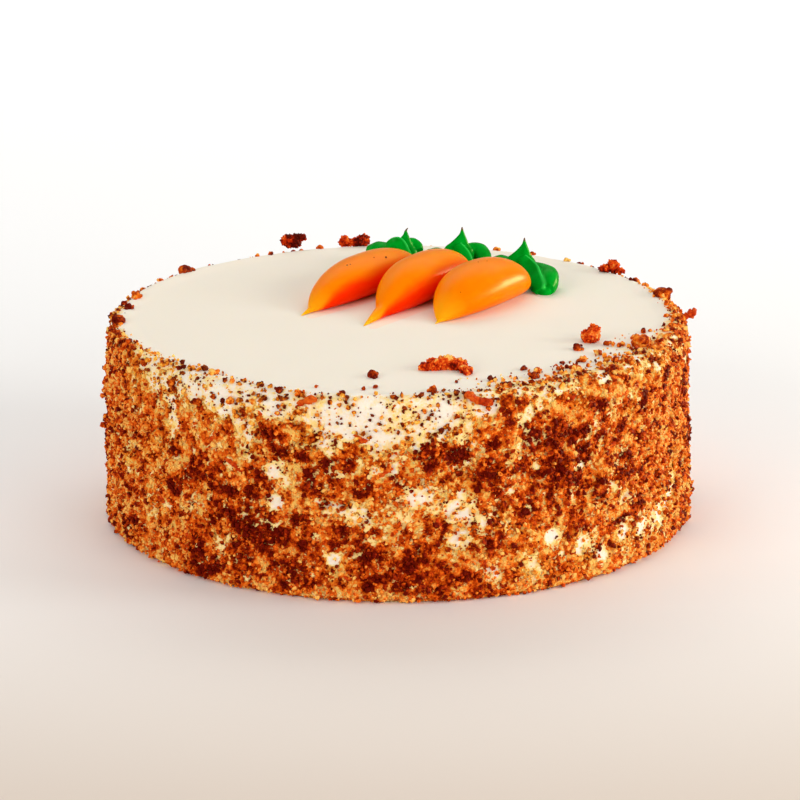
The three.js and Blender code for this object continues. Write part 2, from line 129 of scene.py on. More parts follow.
# Shreds of carrot in the crumb coat: angle, height, length, thickness and slant in degrees
SHREDS = (
    (-17, 70.5, 7, 2.6, -22), (15.2, 71.2, 9, 3.2, 24), (-26, 63, 5, 1.6, 40), (-32, 44, 6, 1.8, 20),
    (34, 67, 5, 1.5, -30), (-9, 9, 6, 1.8, 5), (8, 27, 5, 1.5, 60), (24, 26, 6, 1.6, -50),
    (-3, 46, 7, 1.7, -35), (-7, 58, 4, 1.4, 30), (26, 53, 5, 1.5, 70), (-37, 54, 5, 1.6, -60),
    (-52, 24, 6, 1.6, 15), (46, 47, 5, 1.5, -20), (52, 66, 4, 1.5, 50), (-60, 58, 5, 1.6, 80),
    (66, 38, 5, 1.6, -40), (-20, 8, 5, 1.5, -15), (36, 33, 5, 1.5, 35), (-44, 15, 5, 1.5, 65),
)
# Those on the back half by chance: how many, heights, lengths, thicknesses and slants
BACK_SHREDS = 22
BACK_SHRED_RANGES = ((6, 68), (4, 7), (1.4, 2.2), (-90, 90))
# The one that stands out at the right: x, y, height and thickness along it
STANDING_SHRED = (
    (103.4, -1.5, 72.0, 1.8), (104.6, -1.7, 72.9, 2.4), (105.9, -1.5, 73.7, 3.2),
    (107.3, -1.6, 74.3, 3.0), (106.6, -1.4, 72.9, 2.2),
)

# Clumps of toasted crumbs: angle, height above the table, reach
CLUMPS = (
    (-56, 44, 6), (-45, 34, 6), (-30, 24, 7), (-22, 55, 5), (-14, 34, 6), (-1, 15, 9),
    (7, 50, 4), (19, 47, 6), (17, 22, 5), (31, 44, 7), (44, 34, 7), (61, 64, 4),
)

# Where the coat is toasted darker, and where it is bare so that frosting shows: angle, height
# and reach of each patch
TOASTED_PATCHES = (
    (-66, 7, 5), (-60, 10, 4), (-47, 31, 4), (-42, 14, 4), (-36, 22, 3), (54, 34, 3),
    (-42, 38, 5), (-42, 7, 5), (-37, 38, 6), (-38, 6, 6), (-35, 32, 8), (-27, 42, 3),
    (-30, 26, 8), (-29, 36, 4), (-30, 8, 7),
    (-24, 20, 9), (-23, 56, 5), (-21, 11, 8), (-17, 20, 5), (-17, 9, 6), (-18, 28, 4),
    (-16, 42, 6), (-11, 24, 4), (-12, 44, 4), (-18, 51, 3), (-24, 37, 3), (-6, 22, 5),
    (-5, 13, 7), (2, 12, 10),
    (7, 9, 7), (-9, 49, 3), (-7, 40, 4), (0, 43, 4), (54, 24, 4), (37, 21, 3), (6, 54, 6), (6, 20, 3),
    (12, 8, 3), (12, 52, 5), (18, 46, 6), (18, 55, 3), (24, 68, 3), (48, 63, 3), (-12, 20, 3),
    (19, 39, 5), (18, 21, 4), (24, 47, 4), (24, 30, 5), (26, 55, 5), (42, 53, 4),
    (54, 58, 4), (31, 56, 7),
    (31, 44, 8), (30, 33, 4), (37, 45, 6), (36, 35, 6), (37, 54, 4), (42, 62, 4),
    (42, 32, 5), (42, 9, 3), (49, 38, 6), (54, 46, 3), (62, 65, 3), (48, 20, 2),
)
BARE_PATCHES = (
    (-42, 67, 4), (-36, 68, 3), (-47, 53, 2), (-24, 67, 4), (-24, 44, 2.5), (-42, 56, 2.5),
    (-23, 33, 3), (-12, 67, 5), (-5, 66, 7), (-9, 60, 3), (0, 60, 3), (-2, 56, 4), (0, 52, 4),
    (-1, 48, 3), (66, 15, 3), (9, 68, 3), (3, 37, 4), (11, 32, 4.5), (12, 38, 2.5), (12, 23, 3),
    (-12, 15, 2.5), (18, 68, 3), (18, 9, 3), (30, 19, 3), (37, 14, 4), (42, 8, 3),
    (48, 14, 3), (54, 13, 3.5), (61, 14, 3), (67, 18, 3),
)
# Broader places where the crumbs lie single and frosting shows between them
THIN_PATCHES = (
    (-62, 63, 4), (-54, 65, 5), (-48, 53, 4), (-43, 63, 6), (-34, 65, 6), (-30, 57, 6),
    (-30, 51, 5), (-24, 33, 4), (-24, 45, 5), (-18, 62, 4), (-36, 50, 3), (-42, 26, 5),
    (-54, 18, 4), (-12, 15, 3),
    (-8, 32, 6), (-3, 56, 6), (-11, 61, 7), (0, 35, 7), (7, 38, 7), (-12, 33, 4),
    (-36, 14, 3), (12, 32, 8),
    (18, 33, 4), (11, 22, 6), (9, 66, 6), (13, 61, 5), (17, 65, 4), (19, 62, 4), (24, 62, 3),
    (24, 52, 4), (31, 18, 5), (38, 12, 6), (18, 8, 5), (26, 8, 5), (43, 10, 5), (47, 15, 6),
    (54, 14, 7), (61, 14, 7), (67, 18, 9), (48, 27, 4),
    (36, 68, 4), (54, 68, 3), (66, 67, 3), (40, 24, 3), (-64, 40, 6), (-66, 30, 4), (48, 44, 3),
)
# Patches on the back half by chance: how many of each, the angle that they start at on either
# side, and their heights and reaches
BACK_TOASTED = 40
BACK_BARE = 26
BACK_THIN = 26
BACK_FROM = 72
BACK_HEIGHTS = (4, 68)
BACK_REACHES = (2.5, 7)
# Soft edge of a patch, in shares of its reach
PATCH_EDGE = (1.25, 0.45)

# How high the dense coat reaches, and how far single crumbs spill over the rim: angle, value
COAT_TOP = (
    (-180, 64), (-110, 66), (-95, 70), (-70, 74), (-58, 70), (-50, 66), (-24, 66), (-16, 58),
    (-8, 56), (0, 55), (8, 62), (20, 68), (34, 72), (60, 76), (100, 76), (125, 72), (150, 66),
    (180, 64),
)
RIM_SPILL = (
    (-180, 1), (-135, 1), (-110, 3), (-95, 5), (-72, 6), (-58, 10), (-44, 11), (-30, 8),
    (-16, 5), (0, 6), (10, 10), (22, 17), (54, 17), (68, 14), (90, 8), (110, 5), (130, 3),
    (150, 1), (180, 1),
)

# Scattered crumbs by kind: how many, smallest and largest, density on plain and toasted coat,
# tone, and how steeply they thin out with the coat
CRUMB_KINDS = {
    "golden_crumbs": {"count": 9300, "size": (0.8, 2.2), "plain": 1.0, "toasted": 0.2,
                      "tone": -0.2, "thin_out": 0.8},
    "amber_crumbs": {"count": 9300, "size": (0.8, 2.4), "plain": 1.0, "toasted": 0.8,
                     "tone": 0.04, "thin_out": 0.8},
    "toasted_crumbs": {"count": 9300, "size": (0.8, 2.6), "plain": 0.3, "toasted": 2.6,
                       "tone": 0.36, "thin_out": 1.1},
    "fine_crumbs": {"count": 9300, "size": (0.4, 1.0), "plain": 1.0, "toasted": 0.9,
                    "tone": 0.16, "thin_out": 0.5},
}
# They start this high on the side, and none of them reaches lower than the clearance
LOWEST_SCATTERED = 1.0
TABLE_CLEARANCE = 0.1
SCATTER_LIFT = 0.45
# More than a whole turn in radians, for crumbs that are turned by chance
ANY_TURN = 6.3

# A laid crumb: size of its middle, then how far off, how large and how high its bits are, all in
# shares of its size
MIDDLE_SIZE = 0.72
BIT_AWAY = (0.22, 0.44)
BIT_SIZE = (0.22, 0.45)
BIT_LIFT = (-0.1, 0.2)

# Large crumbs on top, each from lumps: middle x, y and height above the frosting, then half
# the length, width and height of the lump. The third is past the rounded rim and touches nothing
LARGE_CRUMBS = (
    (
        (9.7, -68.4, 1.0, 2.6, 1.6, 1.6), (12.7, -67.6, 1.6, 3.3, 2.5, 2.5),
        (16.8, -66.4, 2.0, 3.7, 3.0, 2.9), (20.9, -68.0, 1.6, 3.2, 2.9, 2.5),
        (23.8, -72.4, 1.1, 2.3, 3.4, 1.8),
    ),
    (
        (68.3, -32.4, 2.0, 3.6, 3.4, 2.8), (69.4, -31.8, 4.2, 2.2, 2.0, 2.1),
    ),
    (
        (-42.6, 97.0, 3.0, 2.8, 2.0, 2.9), (-40.0, 97.2, 2.7, 2.8, 2.1, 2.7),
        (-37.6, 97.4, 4.2, 2.1, 1.5, 1.5),
    ),
    (
        (-20.6, 100.8, 1.6, 2.6, 2.0, 2.2), (-17.2, 101.0, 1.3, 2.6, 1.9, 1.8),
        (-13.8, 101.0, 2.0, 2.7, 2.2, 2.6),
    ),
    (
        (78.3, 62.4, 1.0, 2.6, 1.8, 1.6), (81.7, 62.6, 2.0, 2.3, 2.2, 2.6),
        (84.3, 60.2, 0.8, 1.7, 1.5, 1.2),
    ),
)
# Tone of each at its foot and at its top, 1 for darkest
LARGE_CRUMB_TONES = ((0.6, 0.16), (0.7, 0.1), (0.9, 0.8), (0.72, 0.5), (0.6, 0.45))

# Their surface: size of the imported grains, and how far below their level foot they may reach
LARGE_GRAIN = 1.1
LARGE_SINK = 0.2

# Piped carrots: middle of the thick end, tip, half width, height, sideways bow, where the body
# ends in its thin pulled tail, as a share of the length, and how strongly painted shade reddens its
# lower flank
CARROTS = (
    {"butt": (4.2, 62.5), "tip": (-35, 1.5), "half_width": 10.8, "height": 13.7, "bow": 0.0,
     "tail_from": 0.93, "flank_shade": 1.15},
    {"butt": (23, 56), "tip": (-12.2, -12.5), "half_width": 10.8, "height": 15.7, "bow": -0.5,
     "tail_from": 0.83, "flank_shade": 1.0},
    {"butt": (43.8, 38.2), "tip": (13.5, -9.5), "half_width": 12.4, "height": 16.0, "bow": -1.0,
     "tail_from": 0.96, "flank_shade": 0.25},
)
# The painted pink glow of orange light bounced into the shade beside the left and middle
# carrots lies this far from them, as x, y
BOUNCE_SHIFT = (3.4, -1.6)
# Its reach at the thick end and how much less it is at the tip, in half widths, and its soft
# edge in shares of that reach
BOUNCE_REACH = 1.3
BOUNCE_TAPER = 1.15
BOUNCE_EDGE = (1.2, 0.85)
CARROT_WIDEST_AT = 0.43
CARROT_BUTT = 3.0
CARROT_TAPER = 2.0
CARROT_BLUNTNESS = 0.8
CARROT_ROUNDNESS = 0.85
CARROT_LEVEL = 0.42
BUTT_DROP = 0.12
CARROT_ARC = (-0.33, 1.33)
CARROT_TUCK = 1.16
TAIL_SLOPE = 0.17
TAIL_GIRTH = 0.22
TAIL_BLEND = 3
CARROT_RINGS = 90
CARROT_SIDES = 60
FIRST_RING = 0.001
RING_CROWDING = 0.92

# Small crumbs stuck to the carrots: which carrot, share of its length, turn in degrees, size
CARROT_SPECKS = (
    (0, 0.6, 86, 0.8), (0, 0.585, 82, 0.6), (0, 0.42, 68, 0.7), (0, 0.35, 56, 0.9),
    (2, 0.45, 90, 0.5), (2, 0.39, 82, 0.5), (2, 0.79, 58, 0.5),
)

# Green tops piped across the thick ends: foot of the spike, heights of the spike and of the
# trail above the frosting, how far the apex bends, and where the trail starts as an x, y offset
# from the spike; then the ridge in front and the bulb behind it, as x, y, height above the
# frosting and radius along each. A lump at the foot is middle x, y and height, then half sizes
TOPS = (
    {"at": (3, 69), "spike": 15.8, "bend": 0.8, "trail": 8.6, "trail_start": (-14, 13),
     "ridge": (
         (-3.4, 67.1, 8.6, 2.2), (-1.4, 66.6, 10.2, 2.4), (0.2, 65.6, 10.2, 2.5),
         (1.6, 64.6, 8.6, 2.4), (3.6, 63.3, 6.0, 1.8)),
     "bulb": (
         (3.8, 70.6, 9.4, 2.0), (5.6, 71.6, 8.8, 2.4), (7.2, 71.3, 7.6, 2.4),
         (7.9, 70.3, 6.4, 1.9))},
    {"at": (24.2, 60), "spike": 18.4, "bend": 0, "trail": 7.2, "trail_start": (-12.5, 19),
     "ridge": (
         (22.4, 58.2, 11.4, 1.8), (23.4, 57.0, 10.2, 2.3), (24.6, 56.0, 8.2, 2.7),
         (26.3, 54.8, 5.0, 2.4), (27.3, 53.8, 3.2, 1.6)),
     "bulb": (
         (25.4, 62.4, 8.6, 2.4), (28.6, 64.2, 8.4, 2.9), (31.0, 63.8, 7.8, 3.2),
         (32.4, 61.2, 6.6, 3.0), (32.8, 57.5, 5.2, 2.3))},
    {"at": (47.3, 48.5), "spike": 17.2, "bend": 0, "trail": 7.6, "trail_start": (-11, 18),
     "ridge": (
         (46.2, 45.2, 10.0, 2.0), (47.8, 43.4, 8.4, 2.6), (50.2, 39.8, 6.3, 3.0),
         (51.4, 35.4, 4.2, 3.0), (52.6, 31.8, 2.4, 2.6), (52.8, 30.4, 1.4, 2.2)),
     "bulb": (
         (49.8, 47.8, 6.6, 1.8), (53.0, 44.6, 5.6, 3.0), (56.0, 40.6, 4.8, 3.7),
         (56.2, 36.5, 4.2, 3.7), (56.0, 33.4, 3.2, 3.3), (55.4, 30.9, 2.2, 2.6)),
     "foot": ((54.4, 31.6, 1.0, 2.8, 2.2, 2.6),)},
)
# The spike: how far below its apex each level is, and its reach to the left, right and depth
SPIKE_DROPS = (0, 1.2, 2.6, 4.6, 6.4, 7.6, 10)
SPIKE_LEFT = (0.25, 0.5, 1, 2.7, 4.7, 6.2, 7)
SPIKE_RIGHT = (0.25, 0.5, 1, 1.8, 2.5, 3.3, 4.5)
SPIKE_DEPTH = (0.25, 0.5, 1, 1.4, 1.8, 2.2, 2.8)
RIDGE_PINCH = 2.4
RIDGE_LEAN = 0.5
# Reach of the painted highlight along the ridge's crest, at its start and at its end
CREST_HIGHLIGHT_REACH = (0.7, 1.5)
TRAIL_LEVEL = 0.46
TRAIL_RADII = (0.22, 0.46, 0.5, 0.5)
FOOT_FULLNESS = 0.5
BEAD_SIDES = 32
BEAD_RINGS = 32

# Voxel sizes that join the lumps of a large crumb and the strokes of a green top
CRUMB_VOXEL = 0.22
ICING_VOXEL = 0.18

# Floor: half its width, how far it is below the cake, and where along Y in metres it whitens
FLOOR_HALF = 3000
FLOOR_DROP = 0.2
FLOOR_FADE = (-0.3, 0.9)

# Soft lights: name, place, size and power, and for some the target, whether it lights matt
# surfaces, and its colour
SKY_STRENGTH = 0.38
LIGHTS = (
    ("left_light", (-1150, -1350, 700), (1200, 900), 14.4),
    ("front_right_light", (1150, -1330, 620), (1100, 800), 11.1),
    ("top_light", (-150, -100, 1250), (900, 900), 0.4),
    ("right_light", (1000, 300, 260), (700, 240), 60, (30, 10, 75), False, (1.0, 0.8, 0.42)),
    ("side_light", (1300, -250, 450), (500, 500), 7.2),
    ("floor_light", (0, 1700, 1500), (2600, 1600), 28, (0, 1600, 0)),
)

# View of the cake: distance and height angle of the camera, the point that it looks at, and the
# lens and sensor
CAMERA_DISTANCE = 1374
CAMERA_PITCH = 16.87
CAMERA_TARGET = (0.8, 0, 40.5)
CAMERA_LENS = 169.3
CAMERA_SENSOR = 36


# ------------------------------------------------------------------ numbers

WORD = 0xFFFFFFFF


def random_from(seed):
    """Repeatable random numbers from 0 to 1, the same ones that the solids are made with."""
    state = seed & WORD

    def draw():
        nonlocal state
        state = (state + 0x6D2B79F5) & WORD
        t = ((state ^ (state >> 15)) * (state | 1)) & WORD
        t ^= (t + (((t ^ (t >> 7)) * (t | 61)) & WORD)) & WORD
        return (t ^ (t >> 14)) / (WORD + 1)

    return draw


def mix(a, b, share):
    return a + (b - a) * share


def smooth_step(low, high, value):
    share = np.clip((value - low) / (high - low), 0, 1)
    return share * share * (3 - 2 * share)


def on_circle(angle, radius):
    """A place as x, y on a circle round the cake's axis."""
    turn = math.radians(angle)
    return radius * math.sin(turn), -radius * math.cos(turn)


def side_radius(height):
    """Radius of the frosted side at a height: it widens a little towards the foot."""
    return CAKE_RADIUS + FOOT_FLARE * (1 - height / CAKE_HEIGHT) ** 2


def lumpy(points, size, seed):
    """Smooth noise, about -1 to 1, at points in millimetres; size is that of a lump."""
    shift = Vector((seed * 17.3, seed * 5.1, seed * 11.7))
    return np.array([2 * noise.noise(Vector(p) / size + shift) for p in points])


def grainy(points, size, seed):
    """Rounded grains, 1 on top of a grain and 0 in the cracks between them."""
    shift = Vector((seed * 3.7, seed * 8.3, seed * 1.9))
    near = [noise.voronoi(Vector(p) / size + shift)[0][:2] for p in points]
    gap = np.array([second - first for first, second in near])
    return np.clip(gap * 2.2, 0, 1)


# ------------------------------------------------------------------ meshes


def mesh_object(name, points, faces, material, smooth=True):
    """A piece from points in millimetres, with its place in its mesh."""
    mesh = bpy.data.meshes.new(name)
    mesh.from_pydata((np.asarray(points, float) * MM).tolist(), [], faces)
    mesh.polygons.foreach_set("use_smooth", [smooth] * len(mesh.polygons))
    mesh.materials.append(material)
    mesh.update()
    return link_piece(name, mesh)


def link_piece(name, mesh):
    piece = bpy.data.objects.new(name, mesh)
    bpy.context.scene.collection.objects.link(piece)
    return piece


def set_attribute(piece, name, values):
    """Stores a number for each point of a piece."""
    attribute = piece.data.attributes.new(name, "FLOAT", "POINT")
    attribute.data.foreach_set("value", np.asarray(values, np.float32))


def skin_faces(rings, sides, first=0):
    """Faces over closed rings of equally many points, with one face over each end."""
    faces = []
    for i in range(rings - 1):
        for j in range(sides):
            a = first + i * sides + j
            b = first + i * sides + (j + 1) % sides
            faces.append((a, b, b + sides, a + sides))
    last = first + (rings - 1) * sides
    faces.append(tuple(range(first + sides - 1, first - 1, -1)))
    faces.append(tuple(range(last, last + sides)))
    return faces


def finished_mesh(piece, name):
    """The piece's mesh with its modifiers made permanent."""
    graph = bpy.context.evaluated_depsgraph_get()
    mesh = bpy.data.meshes.new_from_object(
        piece.evaluated_get(graph), preserve_all_data_layers=True, depsgraph=graph)
    mesh.name = name
    return mesh


def remeshed(piece, voxel, smoothing):
    """Joins the piece's overlapping shells into one skin and relaxes it."""
    remesh = piece.modifiers.new("one skin", "REMESH")
    remesh.mode = "VOXEL"
    remesh.voxel_size = voxel * MM
    remesh.use_smooth_shade = True
    if smoothing:
        relax = piece.modifiers.new("relax", "SMOOTH")
        relax.factor = 0.5
        relax.iterations = smoothing
    old = piece.data
    piece.data = finished_mesh(piece, piece.name)
    piece.modifiers.clear()
    bpy.data.meshes.remove(old)
    return piece


def points_of(piece):
    flat = np.zeros(len(piece.data.vertices) * 3)
    piece.data.vertices.foreach_get("co", flat)
    return flat.reshape(-1, 3) / MM


def normals_of(piece):
    flat = np.zeros(len(piece.data.vertices) * 3)
    piece.data.vertex_normals.foreach_get("vector", flat)
    return flat.reshape(-1, 3)


def move_points(piece, points):
    piece.data.vertices.foreach_set("co", (points * MM).ravel())
    piece.data.update()


# ------------------------------------------------------------------ node wiring


def enabled(sockets, name):
    return next(s for s in sockets if s.enabled and s.name == name)


def add_node(tree, kind, inputs=None, **settings):
    """A node with its settings, and its inputs by name or number from values or other sockets."""
    node = tree.nodes.new(kind)
    for key, value in settings.items():
        setattr(node, key, value)
    for key, value in (inputs or {}).items():
        socket = node.inputs[key] if isinstance(key, int) else enabled(node.inputs, key)
        if isinstance(value, bpy.types.NodeSocket):
            tree.links.new(value, socket)
        else:
            socket.default_value = value
    return node


def math_node(tree, operation, *values, clamp=False):
    node = add_node(tree, "ShaderNodeMath", dict(enumerate(values)), operation=operation,
                    use_clamp=clamp)
    return node.outputs[0]


def vector_math(tree, operation, *values, result=0):
    node = add_node(tree, "ShaderNodeVectorMath", dict(enumerate(values)), operation=operation)
    return node.outputs[result]


def scaled(tree, vector, scale):
    node = add_node(tree, "ShaderNodeVectorMath", {0: vector, "Scale": scale}, operation="SCALE")
    return node.outputs[0]


def map_range(tree, value, low, high, shape="LINEAR"):
    """0 at the low value and 1 at the high one."""
    node = add_node(tree, "ShaderNodeMapRange", {
        "Value": value, "From Min": low, "From Max": high}, interpolation_type=shape)
    return node.outputs[0]


def mixed_colour(tree, factor, a, b):
    node = add_node(tree, "ShaderNodeMix", {"Factor": factor, "A": a, "B": b}, data_type="RGBA")
    return enabled(node.outputs, "Result")


def named_attribute(tree, name, data_type):
    node = add_node(tree, "GeometryNodeInputNamedAttribute", {"Name": name}, data_type=data_type)
    return enabled(node.outputs, "Attribute")


def add_tree(name, inputs):
    """A geometry tree with named inputs and one geometry result, and what it is given."""
    tree = bpy.data.node_groups.new(name, "GeometryNodeTree")
    tree.interface.new_socket("Geometry", in_out="OUTPUT", socket_type="NodeSocketGeometry")
    for label, kind in inputs:
        tree.interface.new_socket(label, in_out="INPUT", socket_type="NodeSocket" + kind)
    return tree, tree.nodes.new("NodeGroupInput").outputs


def set_result(tree, geometry):
    tree.links.new(geometry, tree.nodes.new("NodeGroupOutput").inputs[0])


# ------------------------------------------------------------------ colours and materials


def srgb(red, green, blue):
    """A colour on screen, 0 to 255, as the linear colour that a shader takes."""
    parts = [c / 255 for c in (red, green, blue)]
    linear = [c / 12.92 if c <= 0.04045 else ((c + 0.055) / 1.055) ** 2.4 for c in parts]
    return (*linear, 1.0)


def new_material(name):
    material = bpy.data.materials.new(name)
    material.use_nodes = True
    tree = material.node_tree
    tree.nodes.clear()
    shader = tree.nodes.new("ShaderNodeBsdfPrincipled")
    output = tree.nodes.new("ShaderNodeOutputMaterial")
    tree.links.new(shader.outputs[0], output.inputs[0])
    return material, tree, shader


def ramp(tree, factor, stops):
    """A colour ramp from (place, colour) stops."""
    node = add_node(tree, "ShaderNodeValToRGB", {0: factor})
    elements = node.color_ramp.elements
    while len(elements) > 1:
        elements.remove(elements[-1])
    elements[0].position, elements[0].color = stops[0]
    for place, colour in stops[1:]:
        elements.new(place).color = colour
    return node.outputs[0]


def attribute_node(tree, name):
    return add_node(tree, "ShaderNodeAttribute", attribute_name=name).outputs["Fac"]


def object_place(tree):
    return tree.nodes.new("ShaderNodeTexCoord").outputs["Object"]


def noise_node(tree, size, detail=2.0):
    """Noise on the object's own place, with lumps of a size in millimetres."""
    node = add_node(tree, "ShaderNodeTexNoise", {
        "Vector": object_place(tree), "Scale": 1 / (size * MM), "Detail": detail})
    return node.outputs[0]


def set_surface(shader, roughness, specular):
    shader.inputs["Roughness"].default_value = roughness
    shader.inputs["Specular IOR Level"].default_value = specular


def set_glow(shader, weight, radius, scale):
    """How much light goes into the surface, and how far each of its colours spreads."""
    shader.inputs["Subsurface Weight"].default_value = weight
    shader.inputs["Subsurface Radius"].default_value = radius
    shader.inputs["Subsurface Scale"].default_value = scale


def bump_node(tree, height, depth, strength=1.0, base=None):
    inputs = {"Height": height, "Distance": depth * MM, "Strength": strength}
    if base is not None:
        inputs["Normal"] = base
    return add_node(tree, "ShaderNodeBump", inputs).outputs[0]


CREAM = srgb(246, 235, 216)
STAINED_CREAM = srgb(255, 218, 136)
# Painted pink glow of orange light bounced from the icing into the shade beside the carrots
BOUNCE_PINKED_CREAM = srgb(254, 226, 202)
GOLDEN_TOASTING = (
    (0.0, srgb(255, 218, 118)), (0.2, srgb(255, 186, 66)), (0.42, srgb(234, 142, 34)),
    (0.62, srgb(194, 92, 12)), (0.82, srgb(138, 52, 5)), (1.0, srgb(94, 20, 2)),
)
RED_TOASTING = (
    (0.0, srgb(255, 196, 98)), (0.2, srgb(255, 145, 46)), (0.42, srgb(236, 98, 16)),
    (0.62, srgb(192, 62, 5)), (0.82, srgb(148, 32, 2)), (1.0, srgb(104, 13, 1)),
)
# Mottling of the crumb's tone: size in mm and spread of its patches, crumbs and specks
CRUMB_MOTTLING = ((4.2, 1.7), (1.8, 1.2), (0.6, 0.6))
MOIST_TOASTING = (
    (0.0, srgb(255, 196, 96)), (0.2, srgb(246, 122, 36)), (0.42, srgb(226, 72, 12)),
    (0.62, srgb(190, 42, 4)), (0.82, srgb(134, 22, 2)), (1.0, srgb(84, 10, 1)),
)


def centred_noise(tree, size, spread, detail=1.0):
    """Noise round zero that reaches about half the spread each way."""
    return math_node(tree, "MULTIPLY", math_node(
        tree, "SUBTRACT", noise_node(tree, size, detail), 0.5), spread)


def summed(tree, *values):
    total = values[0]
    for value in values[1:]:
        total = math_node(tree, "ADD", total, value)
    return total


def crumb_colour(tree, base, stops=RED_TOASTING):
    """How dark the crumb is at a place, by broad patches, single crumbs and specks in them; it
    is more golden where the coat is."""
    tone = summed(tree, base, *(centred_noise(tree, *row) for row in CRUMB_MOTTLING))
    return mixed_colour(
        tree, attribute_node(tree, "golden"), ramp(tree, tone, stops),
        ramp(tree, tone, GOLDEN_TOASTING))


def bounce_beside_carrots(tree):
    """How close a place is, 0 to 1, to the left or middle carrot, on the side that its right
    neighbour shelters, where a painted pink glow of bounced light lies in the shade."""
    flat = vector_math(tree, "MULTIPLY", object_place(tree), (1 / MM, 1 / MM, 0))
    nearest = None
    for row in CARROTS[:2]:
        start = Vector((row["butt"][0] + BOUNCE_SHIFT[0], row["butt"][1] + BOUNCE_SHIFT[1], 0))
        end = Vector((row["tip"][0] + BOUNCE_SHIFT[0], row["tip"][1] + BOUNCE_SHIFT[1], 0))
        run = end - start
        arm = vector_math(tree, "SUBTRACT", flat, tuple(start))
        ahead = vector_math(tree, "DOT_PRODUCT", arm, tuple(run), result="Value")
        share = math_node(tree, "DIVIDE", ahead, run.length_squared, clamp=True)
        foot = scaled(tree, tuple(run), share)
        away = vector_math(tree, "DISTANCE", arm, foot, result="Value")
        reach = math_node(
            tree, "MULTIPLY_ADD", share, -BOUNCE_TAPER * row["half_width"],
            BOUNCE_REACH * row["half_width"])
        away = math_node(tree, "DIVIDE", away, reach)
        nearest = away if nearest is None else math_node(tree, "MINIMUM", nearest, away)
    return map_range(tree, nearest, *BOUNCE_EDGE, "SMOOTHSTEP")


def frosting_material():
    """Buttercream with a bed of fine crumb pressed into it where the coat is dense, and with a
    painted pink glow of orange light bounced into the shade beside the left and middle carrots."""
    material, tree, shader = new_material("buttercream_and_crumb_bed")
    cover = attribute_node(tree, "cover")
    toast = attribute_node(tree, "toast")
    edge = summed(
        tree, cover, centred_noise(tree, 1.4, 0.7), centred_noise(tree, 0.6, 0.5),
        math_node(tree, "MULTIPLY", attribute_node(tree, "golden"), -0.22))
    edge = math_node(tree, "MULTIPLY", edge, map_range(tree, cover, 0.02, 0.12))
    crumbed = map_range(tree, edge, 0.52, 0.66)
    stained = map_range(tree, edge, 0.02, 0.4)
    base = math_node(tree, "MULTIPLY_ADD", toast, 0.6, 0.2)
    cream = mixed_colour(tree, stained, CREAM, STAINED_CREAM)
    # Painted bounce light: pink glow in the shade beside the left and middle carrots
    bounce_tinged = mixed_colour(tree, bounce_beside_carrots(tree), cream, BOUNCE_PINKED_CREAM)
    colour = mixed_colour(tree, crumbed, bounce_tinged, crumb_colour(tree, base))
    tree.links.new(colour, shader.inputs["Base Color"])
    grain = math_node(tree, "MULTIPLY", crumbed, noise_node(tree, 0.8, 2.0))
    grains = bump_node(tree, grain, 1.2, 1.0)
    tree.links.new(bump_node(tree, noise_node(tree, 9, 3.0), 0.35, 0.25, grains),
                   shader.inputs["Normal"])
    set_surface(shader, 0.8, 0.02)
    set_glow(shader, 0.2, (1.0, 0.7, 0.45), 0.0015)
    return material


def crumb_material(name, base, tinting=0.6, toasting=0.4, stops=RED_TOASTING):
    """Moist crumb, mottled and rough, varied from one crumb to the next and darker where
    toasted."""
    material, tree, shader = new_material(name)
    tint = math_node(tree, "MULTIPLY_ADD", attribute_node(tree, "tint"), tinting, base)
    toasted = math_node(tree, "MULTIPLY_ADD", attribute_node(tree, "toast"), toasting, tint)
    tree.links.new(crumb_colour(tree, toasted, stops), shader.inputs["Base Color"])
    tree.links.new(bump_node(tree, noise_node(tree, 0.5, 3.0), 0.4, 1.0), shader.inputs["Normal"])
    set_surface(shader, 0.7, 0.04)
    return material


def shred_material():
    """Baked shreds of carrot, red-orange and rough."""
    material, tree, shader = new_material("baked_carrot_shred")
    tone = summed(tree, attribute_node(tree, "tint"), centred_noise(tree, 1.2, 0.9))
    tree.links.new(ramp(tree, tone, (
        (0.0, srgb(234, 116, 34)), (0.45, srgb(200, 58, 10)), (1.0, srgb(138, 26, 4)))),
        shader.inputs["Base Color"])
    tree.links.new(bump_node(tree, noise_node(tree, 0.7, 2.0), 0.5, 1.0), shader.inputs["Normal"])
    set_surface(shader, 0.65, 0.04)
    return material


def gloss_over(shader, level, roughness, tint):
    """The gloss of soft icing, tinted towards a colour."""
    set_surface(shader, roughness, level)
    shader.inputs["Specular Tint"].default_value = tint


def orange_icing_material():
    """Orange buttercream: yellower at the pulled tail, and deep red from painted shade low on
    the flank that the next carrot shelters.
    """
    material, tree, shader = new_material("orange_icing")
    along = ramp(tree, attribute_node(tree, "along"), (
        (0.0, srgb(255, 134, 0)), (0.8, srgb(255, 128, 0)), (0.97, srgb(255, 172, 20))))
    # Painted shade: deep red low on the flank that the next carrot shades
    lower = summed(tree, attribute_node(tree, "flank_shade"), centred_noise(tree, 14, 0.3))
    flank_shade = map_range(tree, lower, 0.1, 0.6, "SMOOTHSTEP")
    tree.links.new(mixed_colour(tree, flank_shade, along, srgb(255, 48, 0)), shader.inputs["Base Color"])
    tree.links.new(bump_node(tree, noise_node(tree, 7, 2.0), 0.35, 0.2), shader.inputs["Normal"])
    gloss_over(shader, 0.03, 0.28, srgb(255, 200, 80))
    set_glow(shader, 0.6, (1.0, 0.15, 0.02), 0.006)
    return material


